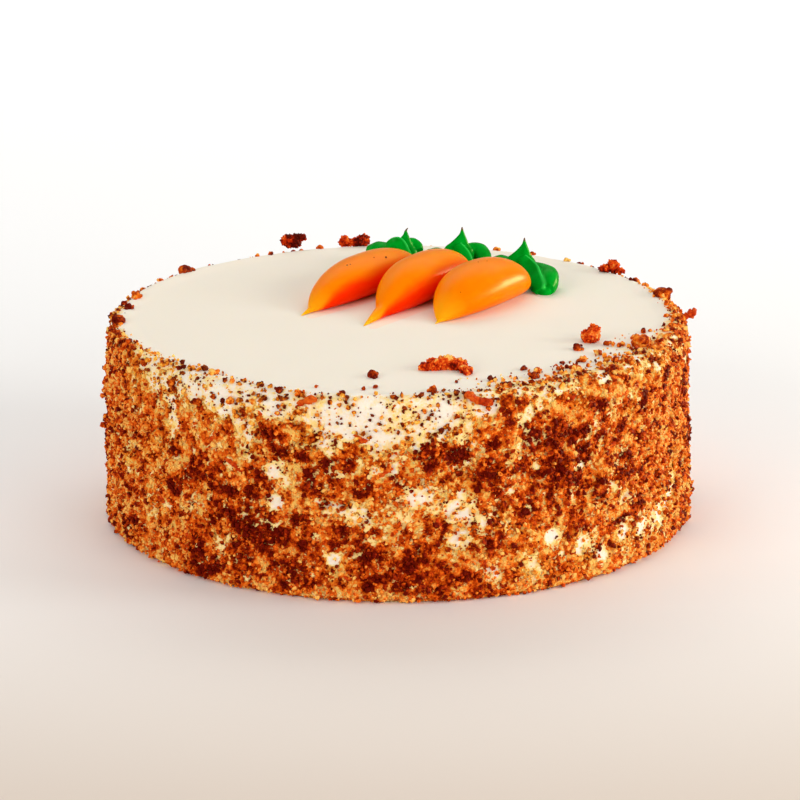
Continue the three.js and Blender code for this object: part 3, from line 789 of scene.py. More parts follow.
def green_icing_material():
    """Green buttercream, smooth and glossy, with a painted highlight along the crest of the ridge,
    and brownish at the tip of the spike."""
    material, tree, shader = new_material("green_icing")
    streaks = noise_node(tree, 4, 2.0)
    green = ramp(tree, streaks, ((0.3, srgb(0, 134, 22)), (0.7, srgb(0, 166, 40))))
    # Painted highlight: a pale line along the ridge's crest
    highlighted = mixed_colour(tree, attribute_node(tree, "crest_highlight"), green, srgb(50, 214, 84))
    colour = mixed_colour(tree, attribute_node(tree, "tip"), highlighted, srgb(110, 70, 50))
    tree.links.new(colour, shader.inputs["Base Color"])
    tree.links.new(bump_node(tree, noise_node(tree, 3, 2.0), 0.3, 0.25), shader.inputs["Normal"])
    gloss_over(shader, 0.018, 0.26, srgb(90, 255, 130))
    set_glow(shader, 0.1, (0.1, 1.0, 0.2), 0.002)
    return material


def floor_material():
    """Pale floor that gets whiter with distance."""
    material, tree, shader = new_material("pale_floor")
    split = add_node(tree, "ShaderNodeSeparateXYZ", {0: object_place(tree)})
    tree.links.new(ramp(tree, map_range(tree, split.outputs[1], *FLOOR_FADE), (
        (0.0, srgb(220, 204, 189)), (0.16, srgb(245, 239, 232)), (0.3, srgb(253, 250, 246)),
        (0.6, srgb(255, 254, 252)))),
        shader.inputs["Base Color"])
    set_surface(shader, 0.9, 0.1)
    return material


# ------------------------------------------------------------------ coat of crumbs


def back_patches(count, random):
    """Patches on the back half, spread by chance where no patch is listed."""
    patches = []
    for _ in range(count):
        angle = mix(BACK_FROM, 360 - BACK_FROM, random())
        patches.append((angle, mix(*BACK_HEIGHTS, random()), mix(*BACK_REACHES, random())))
    return patches


def patch_strength(angle, height, patches):
    """How much of a patch a place is in, from 0 to 1."""
    best = np.zeros_like(angle)
    for middle, level, reach in patches:
        turn = (angle - middle + 180) % 360 - 180
        across = np.radians(turn) * CAKE_RADIUS
        away = np.hypot(across, height - level) / reach
        best = np.maximum(best, smooth_step(*PATCH_EDGE, away))
    return best


def along_turn(angle, rows):
    """A value that changes with the angle round the cake, between given rows."""
    return np.interp(angle, [row[0] for row in rows], [row[1] for row in rows])


def coat_fields(points):
    """How dense, how toasted and how golden the coat is at points of the frosting."""
    random = random_from(PATCH_SEED)
    toasted = TOASTED_PATCHES + tuple(back_patches(BACK_TOASTED, random))
    bare = BARE_PATCHES + tuple(back_patches(BACK_BARE, random))
    thin = THIN_PATCHES + tuple(back_patches(BACK_THIN, random))
    angle = np.degrees(np.arctan2(points[:, 0], -points[:, 1]))
    height = points[:, 2]
    inward = np.clip(CAKE_RADIUS - np.hypot(points[:, 0], points[:, 1]), 0, None)
    broad = lumpy(points, 9, 1)
    small = lumpy(points, 3.2, 2)
    tiny = lumpy(points, 1.6, 4)
    bare_here = patch_strength(angle, height, bare)
    thin_here = patch_strength(angle, height, thin)
    cover = 0.92 + 0.18 * broad + 0.32 * small + 0.25 * tiny
    cover -= thin_here * (0.36 + 0.35 * small) + bare_here * (0.6 + 0.5 * small + 0.6 * tiny)
    fade = along_turn(angle, COAT_TOP) - height + 5 * broad + 4 * small
    reach = along_turn(angle, RIM_SPILL)
    upper = mix(0.55 * smooth_step(0, 4, reach), 1, smooth_step(-5, 5, fade))
    spill = smooth_step(1.0, 0.25, inward / reach)
    on_top = smooth_step(CAKE_HEIGHT - RIM_ROUNDING, CAKE_HEIGHT, height)
    cover = np.clip(cover, 0.1, 1) * upper
    cover = np.where(height > CAKE_HEIGHT - 1, mix(cover, 0.9 * cover, on_top) * spill, cover)
    toasted_here = patch_strength(angle, height, toasted)
    toast = 0.12 + 0.25 * lumpy(points, 6, 3) + 0.25 * small
    toast = toast + 0.75 * toasted_here * (1 + 0.25 * tiny)
    golden = 0.04 + 0.25 * lumpy(points, 12, 8) + 0.3 * thin_here - 0.8 * toasted_here
    single = 1 - smooth_step(-6, 8, fade)
    golden += 0.9 * single
    toast += 0.3 * single * (1 + tiny)
    return [np.clip(field, 0, 1) for field in (cover, toast, golden)]


def top_level(x, y):
    """Height of the frosting at a place on top: it falls away over the rounded rim."""
    inward = CAKE_RADIUS - math.hypot(x, y)
    over = max(0, RIM_ROUNDING - inward)
    return CAKE_HEIGHT - RIM_ROUNDING + math.sqrt(max(0, RIM_ROUNDING ** 2 - over ** 2))


def side_lumps():
    """Middles and sizes of the lumps of crumb on the side, drawn as for the solid."""
    random = random_from(LUMP_SEED)
    lumps = []
    highest = CAKE_HEIGHT - RIM_ROUNDING - 1

    def on_side(angle, height, size):
        x, y = on_circle(angle, side_radius(height) + size * CRUMB_SEAT)
        lumps.append((x, y, height, size))

    for angle, height, reach in CLUMPS:
        for i in range(CLUSTER_CRUMBS):
            turn = (i / CLUSTER_CRUMBS + random() * 0.15) * 2 * math.pi
            away = reach * mix(0.55, 1, random())
            aside = math.degrees(away * math.cos(turn) / CAKE_RADIUS)
            size = mix(*CLUSTER_CRUMB_SIZE, random())
            on_side(angle + aside, max(LOWEST_CRUMB, height + away * math.sin(turn)), size)
    for i in range(SPREAD_CRUMBS):
        height = mix(LOWEST_CRUMB, highest, (i * GOLDEN_SHARE * 1.37 + random() * 0.05) % 1)
        angle = i * GOLDEN_TURN + random() * 6
        on_side(angle, height, mix(*SPREAD_SIZE, i / SPREAD_CRUMBS))
    return lumps


def body_profile():
    """Radius and height of each row of the frosting, from the foot to the middle of the top."""
    rows = [(side_radius(0) - FOOT_CHAMFER, 0.0)]
    side_top = CAKE_HEIGHT - RIM_ROUNDING
    for i in range(SIDE_ROWS + 1):
        height = mix(FOOT_CHAMFER, side_top, i / SIDE_ROWS)
        rows.append((side_radius(height), height))
    for i in range(1, RIM_STEPS + 1):
        turn = i / RIM_STEPS * math.pi / 2
        rows.append((
            CAKE_RADIUS - RIM_ROUNDING * (1 - math.cos(turn)),
            side_top + (RIM_ROUNDING + RIM_LIP) * math.sin(turn)))
    lip_end = CAKE_RADIUS - RIM_ROUNDING - RIM_LIP_WIDTH
    for i in range(1, LIP_STEPS + 1):
        share = i / LIP_STEPS
        rows.append((
            mix(CAKE_RADIUS - RIM_ROUNDING, lip_end, share),
            CAKE_HEIGHT + RIM_LIP * (1 - smooth_step(0, 1, share))))
    for i in range(1, TOP_STEPS + 1):
        rows.append((lip_end * (1 - (i / TOP_STEPS) ** 0.8 * 0.985), CAKE_HEIGHT))
    return np.array(rows)


def lump_relief(points, lumps):
    """How far the lumps of crumb under the coat push it outwards."""
    relief = np.zeros(len(points))
    for x, y, z, size in lumps:
        away = np.linalg.norm(points - (x, y, z), axis=1) / (size * LUMP_SPREAD)
        near = away < 1
        bulge = size * LUMP_RELIEF * np.sqrt(1 - away[near] ** 2)
        relief[near] = np.maximum(relief[near], bulge)
    return relief


def frosted_body(material, lumps):
    """The frosted drum, uneven where crumbs are pressed in, with its coat's density stored."""
    profile = body_profile()
    turns = np.arange(BODY_COLUMNS) / BODY_COLUMNS * 2 * math.pi
    radius, height = profile[:, 0][:, None], profile[:, 1][:, None]
    points = np.stack([
        radius * np.sin(turns), -radius * np.cos(turns), height + 0 * turns], axis=-1)
    points = points.reshape(-1, 3)
    cover, toast, golden = coat_fields(points)
    grains = grainy(points, BED_GRAIN, 5)
    waves = lumpy(points, WAVE_SIZE, 6)
    bed = cover * (BED_DEPTH[0] + BED_DEPTH[1] * grains) + lump_relief(points, lumps)
    outward = points * (1, 1, 0) / np.hypot(points[:, 0], points[:, 1])[:, None]
    side_share = 1 - smooth_step(CAKE_HEIGHT - RIM_ROUNDING, CAKE_HEIGHT, points[:, 2])
    foot_share = smooth_step(0, FOOT_CHAMFER, points[:, 2])
    push = (bed + SIDE_WAVE * waves) * side_share * foot_share
    lump_size, lump_depth = TOP_LUMP
    lift = TOP_WAVE * waves + lump_depth * lumpy(points, lump_size, 7) * cover
    lift = lift * (1 - side_share)
    points = points + outward * push[:, None]
    points[:, 2] += lift
    faces = skin_faces(len(profile), BODY_COLUMNS)
    body = mesh_object("frosting_and_crumb_bed", points, faces, material)
    set_attribute(body, "cover", cover)
    set_attribute(body, "toast", toast)
    set_attribute(body, "golden", golden)
    return body


def set_densities(body):
    """Stores the points a square metre of each kind of crumb, so that their counts come out."""
    count = len(body.data.vertices)
    cover = np.zeros(count, np.float32)
    toast = np.zeros(count, np.float32)
    body.data.attributes["cover"].data.foreach_get("value", cover)
    body.data.attributes["toast"].data.foreach_get("value", toast)
    points = points_of(body)
    areas = np.zeros(count)
    for face in body.data.polygons:
        if len(face.vertices) == 4:
            areas[list(face.vertices)] += face.area / 4
    off_table = points[:, 2] > LOWEST_SCATTERED
    for name, kind in CRUMB_KINDS.items():
        density = cover ** kind["thin_out"] * mix(kind["plain"], kind["toasted"], toast) * off_table
        density *= kind["count"] / np.sum(density * areas)
        set_attribute(body, name, density)


def scatter_tree():
    """Crumbs by chance over a surface, each turned, sized and broken in its own way."""
    tree, given = add_tree("scattered_crumbs", (
        ("Surface", "Geometry"), ("Density", "String"), ("Smallest", "Float"),
        ("Largest", "Float"), ("Lift", "Float"), ("Seed", "Int"), ("Material", "Material")))
    spread = add_node(tree, "GeometryNodeDistributePointsOnFaces", {
        "Mesh": given["Surface"], "Density": named_attribute(tree, given["Density"], "FLOAT"),
        "Seed": given["Seed"]})

    def chance(low, high, step, data_type="FLOAT"):
        seed = math_node(tree, "ADD", given["Seed"], float(step))
        node = add_node(tree, "FunctionNodeRandomValue", {
            "Min": low, "Max": high, "Seed": seed}, data_type=data_type)
        return enabled(node.outputs, "Value")

    small = math_node(tree, "POWER", chance(0.0, 1.0, 1), 2.0)
    span = math_node(tree, "SUBTRACT", given["Largest"], given["Smallest"])
    size = math_node(tree, "MULTIPLY_ADD", small, span, given["Smallest"])
    stand = math_node(tree, "MULTIPLY", chance(-0.15, 1.0, 2), given["Lift"])
    lifted = add_node(tree, "GeometryNodeSetPosition", {
        "Geometry": spread.outputs["Points"],
        "Offset": scaled(
            tree, spread.outputs["Normal"], math_node(tree, "MULTIPLY", stand, size))})
    tinted = add_node(tree, "GeometryNodeStoreNamedAttribute", {
        "Geometry": lifted.outputs[0], "Name": "tint", "Value": chance(0.0, 1.0, 3)},
        data_type="FLOAT", domain="POINT")
    place = tree.nodes.new("GeometryNodeInputPosition").outputs[0]
    centred = add_node(tree, "GeometryNodeStoreNamedAttribute", {
        "Geometry": tinted.outputs[0], "Name": "middle", "Value": place},
        data_type="FLOAT_VECTOR", domain="POINT")
    grain = add_node(tree, "GeometryNodeMeshIcoSphere", {"Radius": 0.5, "Subdivisions": 1})
    shape = scaled(tree, chance((0.7, 0.7, 0.7), (1.15, 1.0, 0.9), 4, "FLOAT_VECTOR"), size)
    instanced = add_node(tree, "GeometryNodeInstanceOnPoints", {
        "Points": centred.outputs[0], "Instance": grain.outputs[0],
        "Rotation": chance((0, 0, 0), (ANY_TURN,) * 3, 5, "FLOAT_VECTOR"), "Scale": shape})
    real = add_node(tree, "GeometryNodeRealizeInstances", {0: instanced.outputs[0]})
    arm = vector_math(
        tree, "SUBTRACT", place, named_attribute(tree, "middle", "FLOAT_VECTOR"))
    broken = add_node(tree, "GeometryNodeSetPosition", {
        "Geometry": real.outputs[0], "Offset": scaled(tree, arm, chance(-0.5, 0.4, 6))})
    parts = add_node(tree, "ShaderNodeSeparateXYZ", {0: place}).outputs
    off_table = add_node(tree, "ShaderNodeCombineXYZ", {
        0: parts[0], 1: parts[1], 2: math_node(tree, "MAXIMUM", parts[2], TABLE_CLEARANCE * MM)})
    standing = add_node(tree, "GeometryNodeSetPosition", {
        "Geometry": broken.outputs[0], "Position": off_table.outputs[0]})
    painted = add_node(tree, "GeometryNodeSetMaterial", {
        "Geometry": standing.outputs[0], "Material": given["Material"]})
    flat = add_node(tree, "GeometryNodeSetShadeSmooth", {
        "Geometry": painted.outputs[0], "Shade Smooth": False})
    set_result(tree, flat.outputs[0])
    return tree


def grown_on(carrier, tree, name, values):
    """A new piece: the plain mesh that a geometry tree grows on a carrier."""
    modifier = carrier.modifiers.new(name, "NODES")
    modifier.node_group = tree
    for item in tree.interface.items_tree:
        if item.item_type == "SOCKET" and item.in_out == "INPUT" and item.name in values:
            modifier[item.identifier] = values[item.name]
    mesh = finished_mesh(carrier, name)
    carrier.modifiers.remove(modifier)
    if "middle" in mesh.attributes:
        mesh.attributes.remove(mesh.attributes["middle"])
    return link_piece(name, mesh)


def scattered_crumbs(body):
    tree = scatter_tree()
    pieces = []
    for i, (name, kind) in enumerate(CRUMB_KINDS.items()):
        pieces.append(grown_on(body, tree, name, {
            "Density": name, "Smallest": kind["size"][0] * MM, "Largest": kind["size"][1] * MM,
            "Lift": SCATTER_LIFT, "Seed": CRUMB_SEED + 10 * i,
            "Material": crumb_material(name, kind["tone"])}))
    for name in CRUMB_KINDS:
        body.data.attributes.remove(body.data.attributes[name])
    return pieces


def laid_tree():
    """Crumbs at given points, each of its own size, pushed in and out by noise."""
    tree, given = add_tree("laid_crumbs", (
        ("Points", "Geometry"), ("Roughness", "Float"), ("Material", "Material")))
    grain = add_node(tree, "GeometryNodeMeshIcoSphere", {"Radius": 0.5, "Subdivisions": 3})
    instanced = add_node(tree, "GeometryNodeInstanceOnPoints", {
        "Points": given["Points"], "Instance": grain.outputs[0],
        "Rotation": named_attribute(tree, "turn", "FLOAT_VECTOR"),
        "Scale": named_attribute(tree, "size", "FLOAT_VECTOR")})
    real = add_node(tree, "GeometryNodeRealizeInstances", {0: instanced.outputs[0]})
    wobble = add_node(tree, "ShaderNodeTexNoise", {"Scale": 1 / (1.3 * MM), "Detail": 3.0})
    push = math_node(tree, "MULTIPLY", math_node(tree, "SUBTRACT", wobble.outputs[0], 0.5),
                     given["Roughness"])
    facing = tree.nodes.new("GeometryNodeInputNormal").outputs[0]
    pushed = add_node(tree, "GeometryNodeSetPosition", {
        "Geometry": real.outputs[0], "Offset": scaled(tree, facing, push)})
    painted = add_node(tree, "GeometryNodeSetMaterial", {
        "Geometry": pushed.outputs[0], "Material": given["Material"]})
    set_result(tree, painted.outputs[0])
    return tree


def laid_crumbs(name, rows, tree, material, roughness):
    """Crumbs at the rows' places, each with three sizes, a turn and how it is coloured."""
    mesh = bpy.data.meshes.new(name + "_middles")
    mesh.from_pydata([tuple(c * MM for c in row["at"]) for row in rows], [], [])
    size = mesh.attributes.new("size", "FLOAT_VECTOR", "POINT")
    size.data.foreach_set("vector", np.array([row["size"] for row in rows]).ravel() * MM)
    turn = mesh.attributes.new("turn", "FLOAT_VECTOR", "POINT")
    turn.data.foreach_set("vector", np.array([row["turn"] for row in rows]).ravel())
    carrier = link_piece(name + "_middles", mesh)
    for colouring in ("tint", "toast", "golden"):
        set_attribute(carrier, colouring, [row[colouring] for row in rows])
    piece = grown_on(carrier, tree, name, {
        "Roughness": roughness * MM, "Material": material})
    for left in ("size", "turn"):
        if left in piece.data.attributes:
            piece.data.attributes.remove(piece.data.attributes[left])
    bpy.data.objects.remove(carrier)
    return piece


def coarse_rows():
    """The loose crumbs, the specks on the carrots and the crumbs that stand out on the side, each
    a middle with smaller bits round it."""
    random = random_from(COARSE_SEED)
    places = [
        (x, y, top_level(x, y) + RIM_LIP / 2 + size * CRUMB_SEAT, size, tone, 0.25)
        for x, y, size, tone in LOOSE_CRUMBS + SMALL_LOOSE_CRUMBS]
    for which, share, turn, size in CARROT_SPECKS:
        places.append((*carrot_point(CARROTS[which], share, math.radians(turn)), size, 0.7, 0))
    for angle, height, size, tone in SIDE_CRUMBS:
        x, y = on_circle(angle, side_radius(height) + size * 0.25)
        places.append((x, y, height, size, tone, 0.3))
    rows = []
    for x, y, z, size, tone, golden in places:
        for bit in range(2 + int(size * 0.9)):
            turn = random() * 2 * math.pi
            away = size * mix(*BIT_AWAY, random()) if bit else 0
            part = size * (mix(*BIT_SIZE, random()) if bit else MIDDLE_SIZE)
            lift = size * mix(*BIT_LIFT, random()) if bit else 0
            rows.append({
                "at": (x + away * math.cos(turn), y + away * math.sin(turn), z + lift),
                "size": (part * mix(0.9, 1.3, random()), part, part * mix(0.65, 0.95, random())),
                "turn": (random() * ANY_TURN, random() * ANY_TURN, random() * ANY_TURN),
                "tint": random(), "toast": tone + mix(-0.18, 0.18, random()),
                "golden": golden})
    return rows


def shred_rows():
    """The shreds of carrot that stick out of the side: listed ones, and more by chance, each
    a short chain of rough bits."""
    random = random_from(SHRED_SEED)
    shreds = list(SHREDS)
    for _ in range(BACK_SHREDS):
        angle = mix(BACK_FROM, 360 - BACK_FROM, random())
        shreds.append((angle, *(mix(*ends, random()) for ends in BACK_SHRED_RANGES)))
    rows = []

    def add_bit(place, length, thickness, slant, angle, tint):
        rows.append({
            "at": tuple(place), "size": (length, thickness, thickness * mix(0.6, 0.9, random())),
            "turn": (math.radians(90), math.radians(slant), math.radians(angle)),
            "tint": tint, "toast": 0.0, "golden": 0.0})

    for angle, height, length, thickness, slant in shreds:
        stretch = 2.2 if thickness < 2.2 else 1.2
        bits = max(2, round(length / thickness / stretch * 2.6))
        tint = mix(0.1, 0.7, random())
        for bit in range(bits):
            along = length * ((bit + 0.5) / bits - 0.5)
            aside = math.degrees(along * math.cos(math.radians(slant)) / CAKE_RADIUS)
            level = height + along * math.sin(math.radians(-slant))
            level += mix(-0.25, 0.25, random()) * thickness
            part = thickness * mix(0.6, 1.1, random())
            radius = side_radius(min(level, CAKE_HEIGHT)) + part * 0.3
            add_bit((*on_circle(angle + aside, radius), level), part * stretch, part,
                    slant + mix(-30, 30, random()), angle, tint + mix(-0.2, 0.2, random()))
    for x, y, height, thickness in STANDING_SHRED:
        add_bit((x, y, height), thickness * 1.3, thickness, mix(-60, 60, random()), 90, 0.45)
    return rows


# ------------------------------------------------------------------ large crumbs


def ellipsoid(centre, half, rings=24, sides=36):
    """Points and faces of a closed ellipsoid."""
    points = []
    for i in range(rings):
        down = math.pi * (i + 0.5) / rings
        for j in range(sides):
            turn = 2 * math.pi * j / sides
            points.append((
                centre[0] + half[0] * math.sin(down) * math.cos(turn),
                centre[1] + half[1] * math.sin(down) * math.sin(turn),
                centre[2] - half[2] * math.cos(down)))
    return points, skin_faces(rings, sides)


def joined_shells(name, shells, material):
    """One object from several closed shells, each a pair of points and faces."""
    points = []
    faces = []
    for shell_points, shell_faces in shells:
        first = len(points)
        points.extend(shell_points)
        faces.extend(tuple(first + v for v in face) for face in shell_faces)
    return mesh_object(name, points, faces, material)


def large_crumb(index, lumps, tones, material):
    """A lumpy piece of cake for the top, made of packed grains."""
    on_rim = any(
        math.hypot(x, y) + length > CAKE_RADIUS - RIM_ROUNDING - RIM_LIP_WIDTH
        for x, y, _, length, _, _ in lumps)
    rest = CAKE_HEIGHT + (RIM_LIP if on_rim else 0)
    shells = [
        ellipsoid((x, y, rest + level), (length, width, height))
        for x, y, level, length, width, height in lumps]
    piece = remeshed(joined_shells(f"large_crumb_{index}_crumb", shells, material), CRUMB_VOXEL, 4)
    points = points_of(piece)
    grains = grainy(points, LARGE_GRAIN, index)
    push = 0.55 * (grains - 0.6) + 0.4 * lumpy(points, 2.4, index)
    push = push + 0.25 * lumpy(points, 0.8, index)
    points = points + normals_of(piece) * push[:, None]
    points[:, 2] = np.maximum(points[:, 2], rest - LARGE_SINK)
    move_points(piece, points)
    share = np.clip((points[:, 2] - rest) / np.max(points[:, 2] - rest), 0, 1)
    set_attribute(piece, "tint", np.clip(0.5 + 0.5 * lumpy(points, 1.4, index + 9), 0, 1))
    # Darker towards the foot than at the top, and painted shade in the cracks between the grains
    set_attribute(piece, "toast", mix(*tones, share ** 1.5) + 0.25 * (0.6 - grains))
    return piece


# ------------------------------------------------------------------ piped carrots


def carrot_girth(share, row, length):
    """Share of the full width along a carrot: blunt at the thick end, ending in a pulled tail."""
    if share < CARROT_WIDEST_AT:
        return (1 - (1 - share / CARROT_WIDEST_AT) ** CARROT_BUTT) ** (1 / CARROT_BUTT)
    run = min(1, (share - CARROT_WIDEST_AT) / (row["tail_from"] - CARROT_WIDEST_AT))
    body = (1 - run ** CARROT_TAPER) ** CARROT_BLUNTNESS
    tail = min(TAIL_GIRTH, TAIL_SLOPE * (1.01 - share) * length / row["half_width"])
    return min(1, (body ** TAIL_BLEND + tail ** TAIL_BLEND) ** (1 / TAIL_BLEND))


def carrot_point(row, share, turn):
    """A place on a carrot's skin, by its share of the length and its turn about the middle."""
    start = np.array(row["butt"])
    run = np.array(row["tip"]) - start
    length = np.linalg.norm(run)
    ahead = run / length
    aside = np.array((-ahead[1], ahead[0]))
    girth = carrot_girth(share, row, length)
    drop = max(0, 1 - share / CARROT_WIDEST_AT) ** 2 * BUTT_DROP
    high = row["height"] * (girth ** CARROT_ROUNDNESS - drop * girth)
    level = CARROT_LEVEL * high
    middle = start + ahead * length * share + aside * row["bow"] * math.sin(math.pi * share)
    if math.sin(turn) > 0:
        up = level + (high - level) * math.sin(turn)
    else:
        up = max(0, level * (1 + CARROT_TUCK * math.sin(turn)))
    across = row["half_width"] * girth * math.cos(turn)
    return (*(middle + aside * across), CAKE_HEIGHT + up)


def piped_carrot(index, row, material):
    """A bead of icing: round above, tucked in below, flat where it lies on the frosting."""
    points = []
    shares = []
    flank_shades = []
    for i in range(CARROT_RINGS + 1):
        even = i / CARROT_RINGS
        spaced = 1 - math.cos(even * math.pi / 2) * mix(1, RING_CROWDING, even)
        share = mix(FIRST_RING, 1, spaced)
        for j in range(CARROT_SIDES):
            turn = mix(*CARROT_ARC, j / (CARROT_SIDES - 1)) * math.pi
            points.append(carrot_point(row, share, turn))
            shares.append(share)
            # Painted shade: how much a point faces low and towards the next carrot, which shades it
            shade_facing = math.cos(turn - 0.1) * 0.6 - math.sin(turn) * 0.4
            flank_shades.append(row["flank_shade"] * shade_facing - 1.2 * smooth_step(0.8, 1, share))
    faces = skin_faces(CARROT_RINGS + 1, CARROT_SIDES)
    piece = mesh_object(f"piped_carrot_{index}_icing", points, faces, material)
    set_attribute(piece, "along", shares)
    set_attribute(piece, "flank_shade", flank_shades)
    return piece


# ------------------------------------------------------------------ green tops


def smooth_path(points, count):
    """Points evenly along a smooth curve through the given points."""
    points = np.array(points, float)
    padded = np.vstack([2 * points[0] - points[1], points, 2 * points[-1] - points[-2]])
    spans = len(points) - 1
    path = []
    for i in range(count + 1):
        place = i / count * spans
        k = min(int(place), spans - 1)
        t = place - k
        a, b, c, d = padded[k:k + 4]
        path.append(0.5 * (2 * b + (c - a) * t + (2 * a - 5 * b + 4 * c - d) * t ** 2
                           + (3 * b - a - 3 * c + d) * t ** 3))
    return np.array(path)


def bead_frames(points, radii):
    """The middle, level and upright directions, and radius at each ring of a bead."""
    path = smooth_path(points, BEAD_RINGS)
    frames = []
    for i, (middle, tangent) in enumerate(zip(path, np.gradient(path, axis=0))):
        radius = np.interp(i / BEAD_RINGS * (len(radii) - 1), range(len(radii)), radii)
        level = np.cross((0, 0, 1), tangent)
        level /= np.linalg.norm(level)
        upright = np.cross(tangent / np.linalg.norm(tangent), level)
        frames.append((middle, level, upright, radius))
    return frames


def bead(frames, pinch=1, lean=0):
    """A bead of icing whose thickness changes along a smooth path; it is drawn out below its
    middle, down to the frosting, and its crest can be pinched and lean to a side."""
    shell = []
    for middle, level, upright, radius in frames:
        for j in range(BEAD_SIDES):
            turn = j / BEAD_SIDES * 2 * math.pi
            aside, up = math.cos(turn), math.sin(turn)
            if up < 0:
                aside = math.copysign(abs(aside) ** FOOT_FULLNESS, aside)
                rise = np.array((0, 0, (middle[2] - CAKE_HEIGHT) * up))
            else:
                aside = math.copysign(abs(aside) ** pinch, aside) + lean * up
                rise = upright * radius * up
            shell.append(tuple(middle + level * radius * aside + rise))
    return shell, skin_faces(len(frames), BEAD_SIDES)


def spike_shell(x, y, spike, bend):
    """The spike that a star tip leaves as it lifts, from its foot to its bent apex."""
    shifts = (bend,) + (0,) * (len(SPIKE_DROPS) - 1)
    profile = list(zip(SPIKE_DROPS, SPIKE_LEFT, SPIKE_RIGHT, SPIKE_DEPTH, shifts))
    profile.append((spike, *profile[-1][1:]))
    shell = []
    for drop, left, right, depth, shift in smooth_path(profile[::-1], BEAD_RINGS):
        middle = x + shift + (right - left) / 2
        half = (left + right) / 2
        for j in range(BEAD_SIDES):
            turn = j / BEAD_SIDES * 2 * math.pi
            shell.append((
                middle + half * math.cos(turn), y + depth * math.sin(turn),
                CAKE_HEIGHT + spike - drop))
    return shell, skin_faces(BEAD_RINGS + 1, BEAD_SIDES)


def green_top(index, row, material):
    """One stroke of a star tip: a low trail, a ridge in front of a bulb, and a spike."""
    x, y = row["at"]
    trail, spike = row["trail"], row["spike"]

    def trail_at(share):
        start_x, start_y = row["trail_start"]
        return (
            x + start_x * (1 - share), y + start_y * (1 - share),
            CAKE_HEIGHT + trail * TRAIL_LEVEL)

    def stroke(rows):
        points = [(*at, CAKE_HEIGHT + up) for *at, up, _ in rows]
        return bead_frames(points, [radius for *_, radius in rows])

    ridge = stroke(row["ridge"])
    trail_frames = bead_frames(
        [trail_at(0), trail_at(0.35), trail_at(0.9)], [r * trail for r in TRAIL_RADII])
    shells = [
        bead(trail_frames),
        bead(ridge, RIDGE_PINCH, RIDGE_LEAN),
        bead(stroke(row["bulb"])),
        spike_shell(x, y, spike, row["bend"]),
    ]
    for lump_x, lump_y, level, *half in row.get("foot", ()):
        shells.append(ellipsoid((lump_x, lump_y, CAKE_HEIGHT + level), half))
    piece = remeshed(joined_shells(f"green_top_{index}_icing", shells, material), ICING_VOXEL, 2)
    places = points_of(piece)
    apex = CAKE_HEIGHT + spike
    set_attribute(piece, "tip", smooth_step(apex - 1.7, apex - 0.5, places[:, 2]))
    # Painted highlight: how near each point is to the ridge's crest, for a pale line along it
    crest_highlight = np.full(len(places), np.inf)
    for (middle, level, upright, radius), reach in zip(
            ridge, np.linspace(*CREST_HIGHLIGHT_REACH, len(ridge))):
        top = middle + (level * RIDGE_LEAN + upright) * radius
        crest_highlight = np.minimum(crest_highlight, np.linalg.norm(places - top, axis=1) / reach)
    set_attribute(piece, "crest_highlight", 0.85 * smooth_step(1, 0.1, crest_highlight))
    return piece


# ------------------------------------------------------------------ camera, floor and light


def add_camera():
    pitch = math.radians(CAMERA_PITCH)
    target = Vector(CAMERA_TARGET) * MM
    back = Vector((0, -math.cos(pitch), math.sin(pitch)))
    data = bpy.data.cameras.new("camera")
    data.lens = CAMERA_LENS
    data.sensor_width = CAMERA_SENSOR
    data.clip_start = 0.05
    camera = bpy.data.objects.new("camera", data)
    bpy.context.scene.collection.objects.link(camera)
    camera.location = target + back * CAMERA_DISTANCE * MM
    camera.rotation_euler = back.to_track_quat("Z", "Y").to_euler()
    bpy.context.scene.camera = camera


def add_floor(material):
    corners = [
        (x * FLOOR_HALF, y * FLOOR_HALF, -FLOOR_DROP)
        for x, y in ((-1, -1), (1, -1), (1, 1), (-1, 1))]
    floor = mesh_object("floor", corners, [(0, 1, 2, 3)], material)


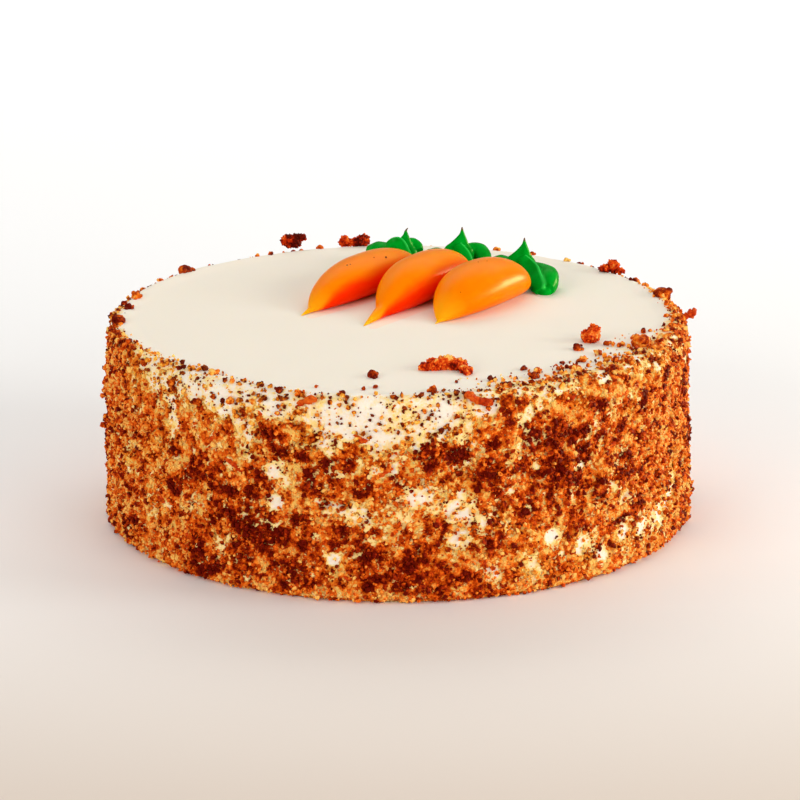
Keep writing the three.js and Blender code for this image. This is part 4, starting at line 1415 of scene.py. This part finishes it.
def add_softbox(name, place, size, power, target=(0, 0, 50), lit=True, colour=(1, 1, 1)):
    """A rectangular soft light at a place in millimetres, turned to a target; where lit is
    False, it shows only in the gloss."""
    data = bpy.data.lights.new(name, "AREA")
    data.shape = "RECTANGLE"
    data.size = size[0] * MM
    data.size_y = size[1] * MM
    data.energy = power
    data.color = colour
    light = bpy.data.objects.new(name, data)
    bpy.context.scene.collection.objects.link(light)
    light.location = Vector(place) * MM
    towards = (Vector(target) - Vector(place)).normalized()
    light.rotation_euler = towards.to_track_quat("-Z", "Y").to_euler()
    light.visible_diffuse = lit


def add_lights():
    world = bpy.data.worlds.new("studio")
    world.use_nodes = True
    sky = world.node_tree.nodes["Background"].inputs
    sky["Color"].default_value = (1, 1, 1, 1)
    sky["Strength"].default_value = SKY_STRENGTH
    bpy.context.scene.world = world
    for row in LIGHTS:
        add_softbox(*row)


# ------------------------------------------------------------------ assembly


def carry(piece, slot, *nodes):
    """Fixes a finished piece to the cake and hides the imported solids that it stands for."""
    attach(piece, "root")
    if nodes:
        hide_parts(*nodes)


add_camera()
bpy.context.scene.view_settings.view_transform = "Standard"
add_floor(floor_material())
add_lights()

body = frosted_body(frosting_material(), side_lumps())
set_densities(body)
carry(body, "crumb_coat", "cake")
for crumbs in scattered_crumbs(body):
    carry(crumbs, "crumb_coat")
laying = laid_tree()
crumbed = crumb_material("loose_crumb", -0.1, 0.15, 1.0)
carry(laid_crumbs("coarse_crumbs", coarse_rows(), laying, crumbed, 1.1), "crumb_coat")
carry(laid_crumbs("carrot_shreds", shred_rows(), laying, shred_material(), 1.7), "crumb_coat")

moist_crumb = crumb_material("moist_crumb", -0.1, 0.2, 1.0, MOIST_TOASTING)
for number, (lumps, tones) in enumerate(zip(LARGE_CRUMBS, LARGE_CRUMB_TONES), 1):
    carry(large_crumb(number, lumps, tones, moist_crumb), "toasted_crumb",
          f"large_crumb_{number}")

orange_icing = orange_icing_material()
for number, row in enumerate(CARROTS, 1):
    carry(piped_carrot(number, row, orange_icing), "orange_icing", f"piped_carrot_{number}")

green_icing = green_icing_material()
for number, row in enumerate(TOPS, 1):
    carry(green_top(number, row, green_icing), "green_icing", f"green_top_{number}")
